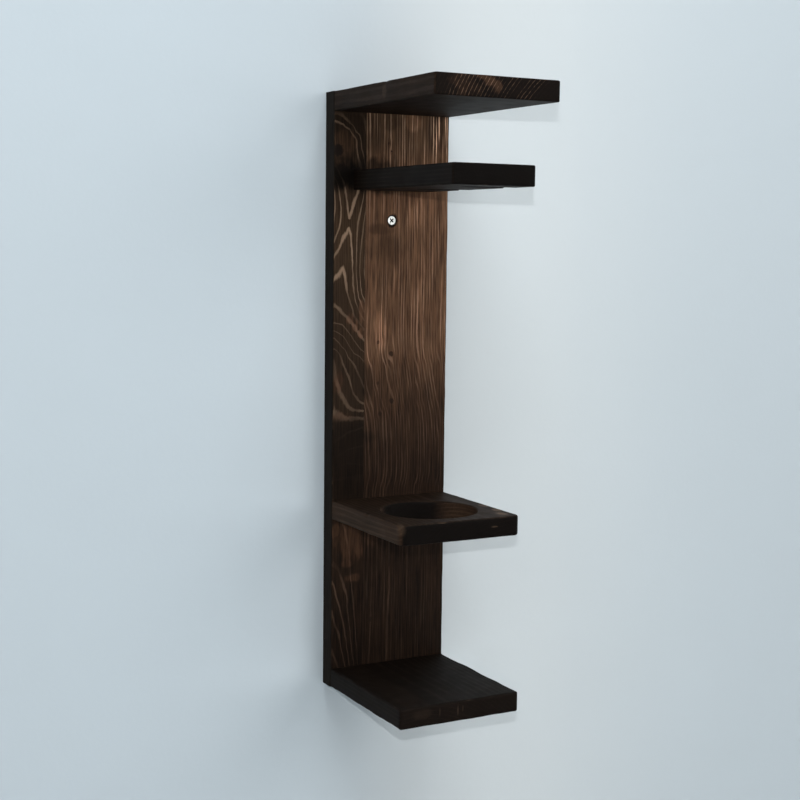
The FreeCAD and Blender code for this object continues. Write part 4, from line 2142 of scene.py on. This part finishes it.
@dataclass
class Studio:
    """Backdrop, floor, lamps and camera."""

    # the backdrop has painted light, brightest to the right of the board
    backdrop_paint: PlainPaint = PlainPaint(
        tone(204, 215, 222), one_sided=True,
        painted_light_across=((-600, 0.1), (-260, 0.0), (-60, 0.1), (0, 0.34), (60, 0.6), (120, 0.7), (240, 0.5),
                    (420, 0.2), (600, 0.12)),
    )
    floor_paint: PlainPaint = PlainPaint(tone(214, 216, 216))
    gap: float = 0.4
    opening_margin: float = 2.0
    floor_level: float = -450.0
    spread: float = 9000.0
    height: float = 5000.0
    soft_lamps: tuple[SoftLamp, ...] = (
        SoftLamp("overhead", (-0.2, -1.0, 2.2), (0.0, 0.0, 0.4), 31.0, 1.4, (0.94, 0.98, 1.0)),
        SoftLamp("fill", (2.1, -2.6, 1.2), (0.0, 0.0, 0.3), 39.0, 2.2, (1.0, 0.99, 0.975)),
        SoftLamp("behind", (0.9, 2.2, 1.4), (0.0, 0.0, 0.3), 50.0, 1.6, (1.0, 1.0, 1.0)),
    )
    # the small lamp beside the camera, in metres
    flash_place: tuple[float, float, float] = (-0.6705, -1.2817, 0.5172)
    flash_radius: float = 0.007
    flash_watts: float = 17.0
    # the room's light in front and behind, and where along the ramp the latter is reached
    room_front: Colour = (0.10, 0.105, 0.11)
    room_behind: Colour = (0.62, 0.66, 0.69)
    room_full: float = 0.62
    room_strength: float = 0.45
    # the camera: its place in metres, and its turn to the side, down and round its own axis
    camera_place: tuple[float, float, float] = (-0.6403, -1.2288, 0.4174)
    camera_side: float = -28.254
    camera_down: float = 6.162
    camera_roll: float = 0.648
    lens_mm: float = 65.94
    sensor_mm: float = 36.0

    def backdrop(self) -> bpy.types.Object:
        """The upright plane behind the rack, open behind the board so that its back gets light.

        Returns:
            The backdrop.
        """
        board = Box.of_node("back_board")
        margin = self.opening_margin
        xs = (-self.spread, board.low.x + margin, board.high.x - margin, self.spread)
        zs = (self.floor_level, board.low.z + margin, board.high.z - margin, self.height)
        points = [(x * MM, self.gap * MM, z * MM) for z in zs for x in xs]
        faces = []
        for row in range(3):
            for column in range(3):
                if (row, column) != (1, 1):
                    a = row * 4 + column
                    faces.append((a, a + 1, a + 5, a + 4))
        return self.staged("backdrop", points, faces, self.backdrop_paint)

    def floor(self) -> bpy.types.Object:
        """The floor, on both sides of the backdrop.

        Returns:
            The floor.
        """
        far, level = self.spread * MM, self.floor_level * MM
        points = [(-far, -far, level), (far, -far, level), (far, far, level), (-far, far, level)]
        return self.staged("floor", points, [(0, 1, 2, 3)], self.floor_paint)

    def staged(
        self, name: str, points: list[tuple[float, float, float]], faces: list[tuple[int, ...]],
        paint: PlainPaint,
    ) -> bpy.types.Object:
        """Makes a plain painted mesh that isn't part of the rack.

        Args:
            name: The object's name.
            points: Its points in metres.
            faces: Its faces' point numbers.
            paint: Its paint.

        Returns:
            The staged object.
        """
        mesh = bpy.data.meshes.new(name)
        mesh.from_pydata(points, [], faces)
        made = link_mesh(name, mesh)
        mesh.materials.append(paint.material(name))
        return made

    def lamps(self) -> None:
        """A soft lamp overhead, a fill from the front, one behind, and a small lamp by the camera."""
        for lamp in self.soft_lamps:
            lamp.hang()
        light = bpy.data.lights.new("flash", "POINT")
        light.energy = self.flash_watts
        light.shadow_soft_size = self.flash_radius
        made = bpy.data.objects.new("flash", light)
        made.location = self.flash_place
        bpy.context.scene.collection.objects.link(made)

    def world(self) -> None:
        """Pale room light: weak from the front, and stronger from the sides and from behind."""
        world = bpy.data.worlds.new("room")
        world.use_nodes = True
        tree = world.node_tree
        tree.nodes.clear()
        place = tree.nodes.new("ShaderNodeTexCoord")
        ramp = tree.nodes.new("ShaderNodeValToRGB")
        parts = tree.nodes.new("ShaderNodeSeparateXYZ")
        shift = tree.nodes.new("ShaderNodeMath")
        background = tree.nodes.new("ShaderNodeBackground")
        output = tree.nodes.new("ShaderNodeOutputWorld")
        shift.operation = "MULTIPLY_ADD"
        for socket in shift.inputs[1:3]:
            socket.default_value = 0.5
        stops = ((0.0, self.room_front), (self.room_full, self.room_behind))
        for stop, (position, colour) in zip(ramp.color_ramp.elements, stops):
            stop.position = position
            stop.color = (*colour, 1.0)
        background.inputs["Strength"].default_value = self.room_strength
        tree.links.new(place.outputs["Generated"], parts.inputs[0])
        tree.links.new(parts.outputs["Y"], shift.inputs[0])
        tree.links.new(shift.outputs[0], ramp.inputs["Fac"])
        tree.links.new(ramp.outputs["Color"], background.inputs["Color"])
        tree.links.new(background.outputs["Background"], output.inputs["Surface"])
        bpy.context.scene.world = world

    def camera(self) -> None:
        """The camera at the photograph's place, turn and lens."""
        data = bpy.data.cameras.new("camera")
        data.lens = self.lens_mm
        data.sensor_width = self.sensor_mm
        made = bpy.data.objects.new("camera", data)
        turn = (
            Matrix.Rotation(math.radians(self.camera_side), 4, "Z")
            @ Matrix.Rotation(math.radians(90.0 - self.camera_down), 4, "X")
            @ Matrix.Rotation(math.radians(self.camera_roll), 4, "Z")
        )
        made.matrix_world = Matrix.Translation(self.camera_place) @ turn
        bpy.context.scene.collection.objects.link(made)
        bpy.context.scene.camera = made

    def build(self) -> None:
        """Sets up everything round the rack."""
        self.backdrop()
        self.floor()
        self.lamps()
        self.world()
        self.camera()
        bpy.context.scene.view_settings.view_transform = "Standard"


def report(piece: bpy.types.Object) -> None:
    """Logs a finished piece and its number of triangles."""
    triangles = sum(len(p.vertices) - 2 for p in piece.data.polygons)
    LOG.info("%s: %d triangles", piece.name, triangles)


def main() -> None:
    """Builds the rack and the studio."""
    logging.basicConfig(level=logging.INFO, format="%(message)s")
    for item in list(bpy.data.objects):
        bpy.data.objects.remove(item)
    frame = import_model()
    LOG.info("frame: %d nodes", len(frame["nodes"]))
    Rack().build()
    Studio().build()


if __name__ == "__main__":
    main()
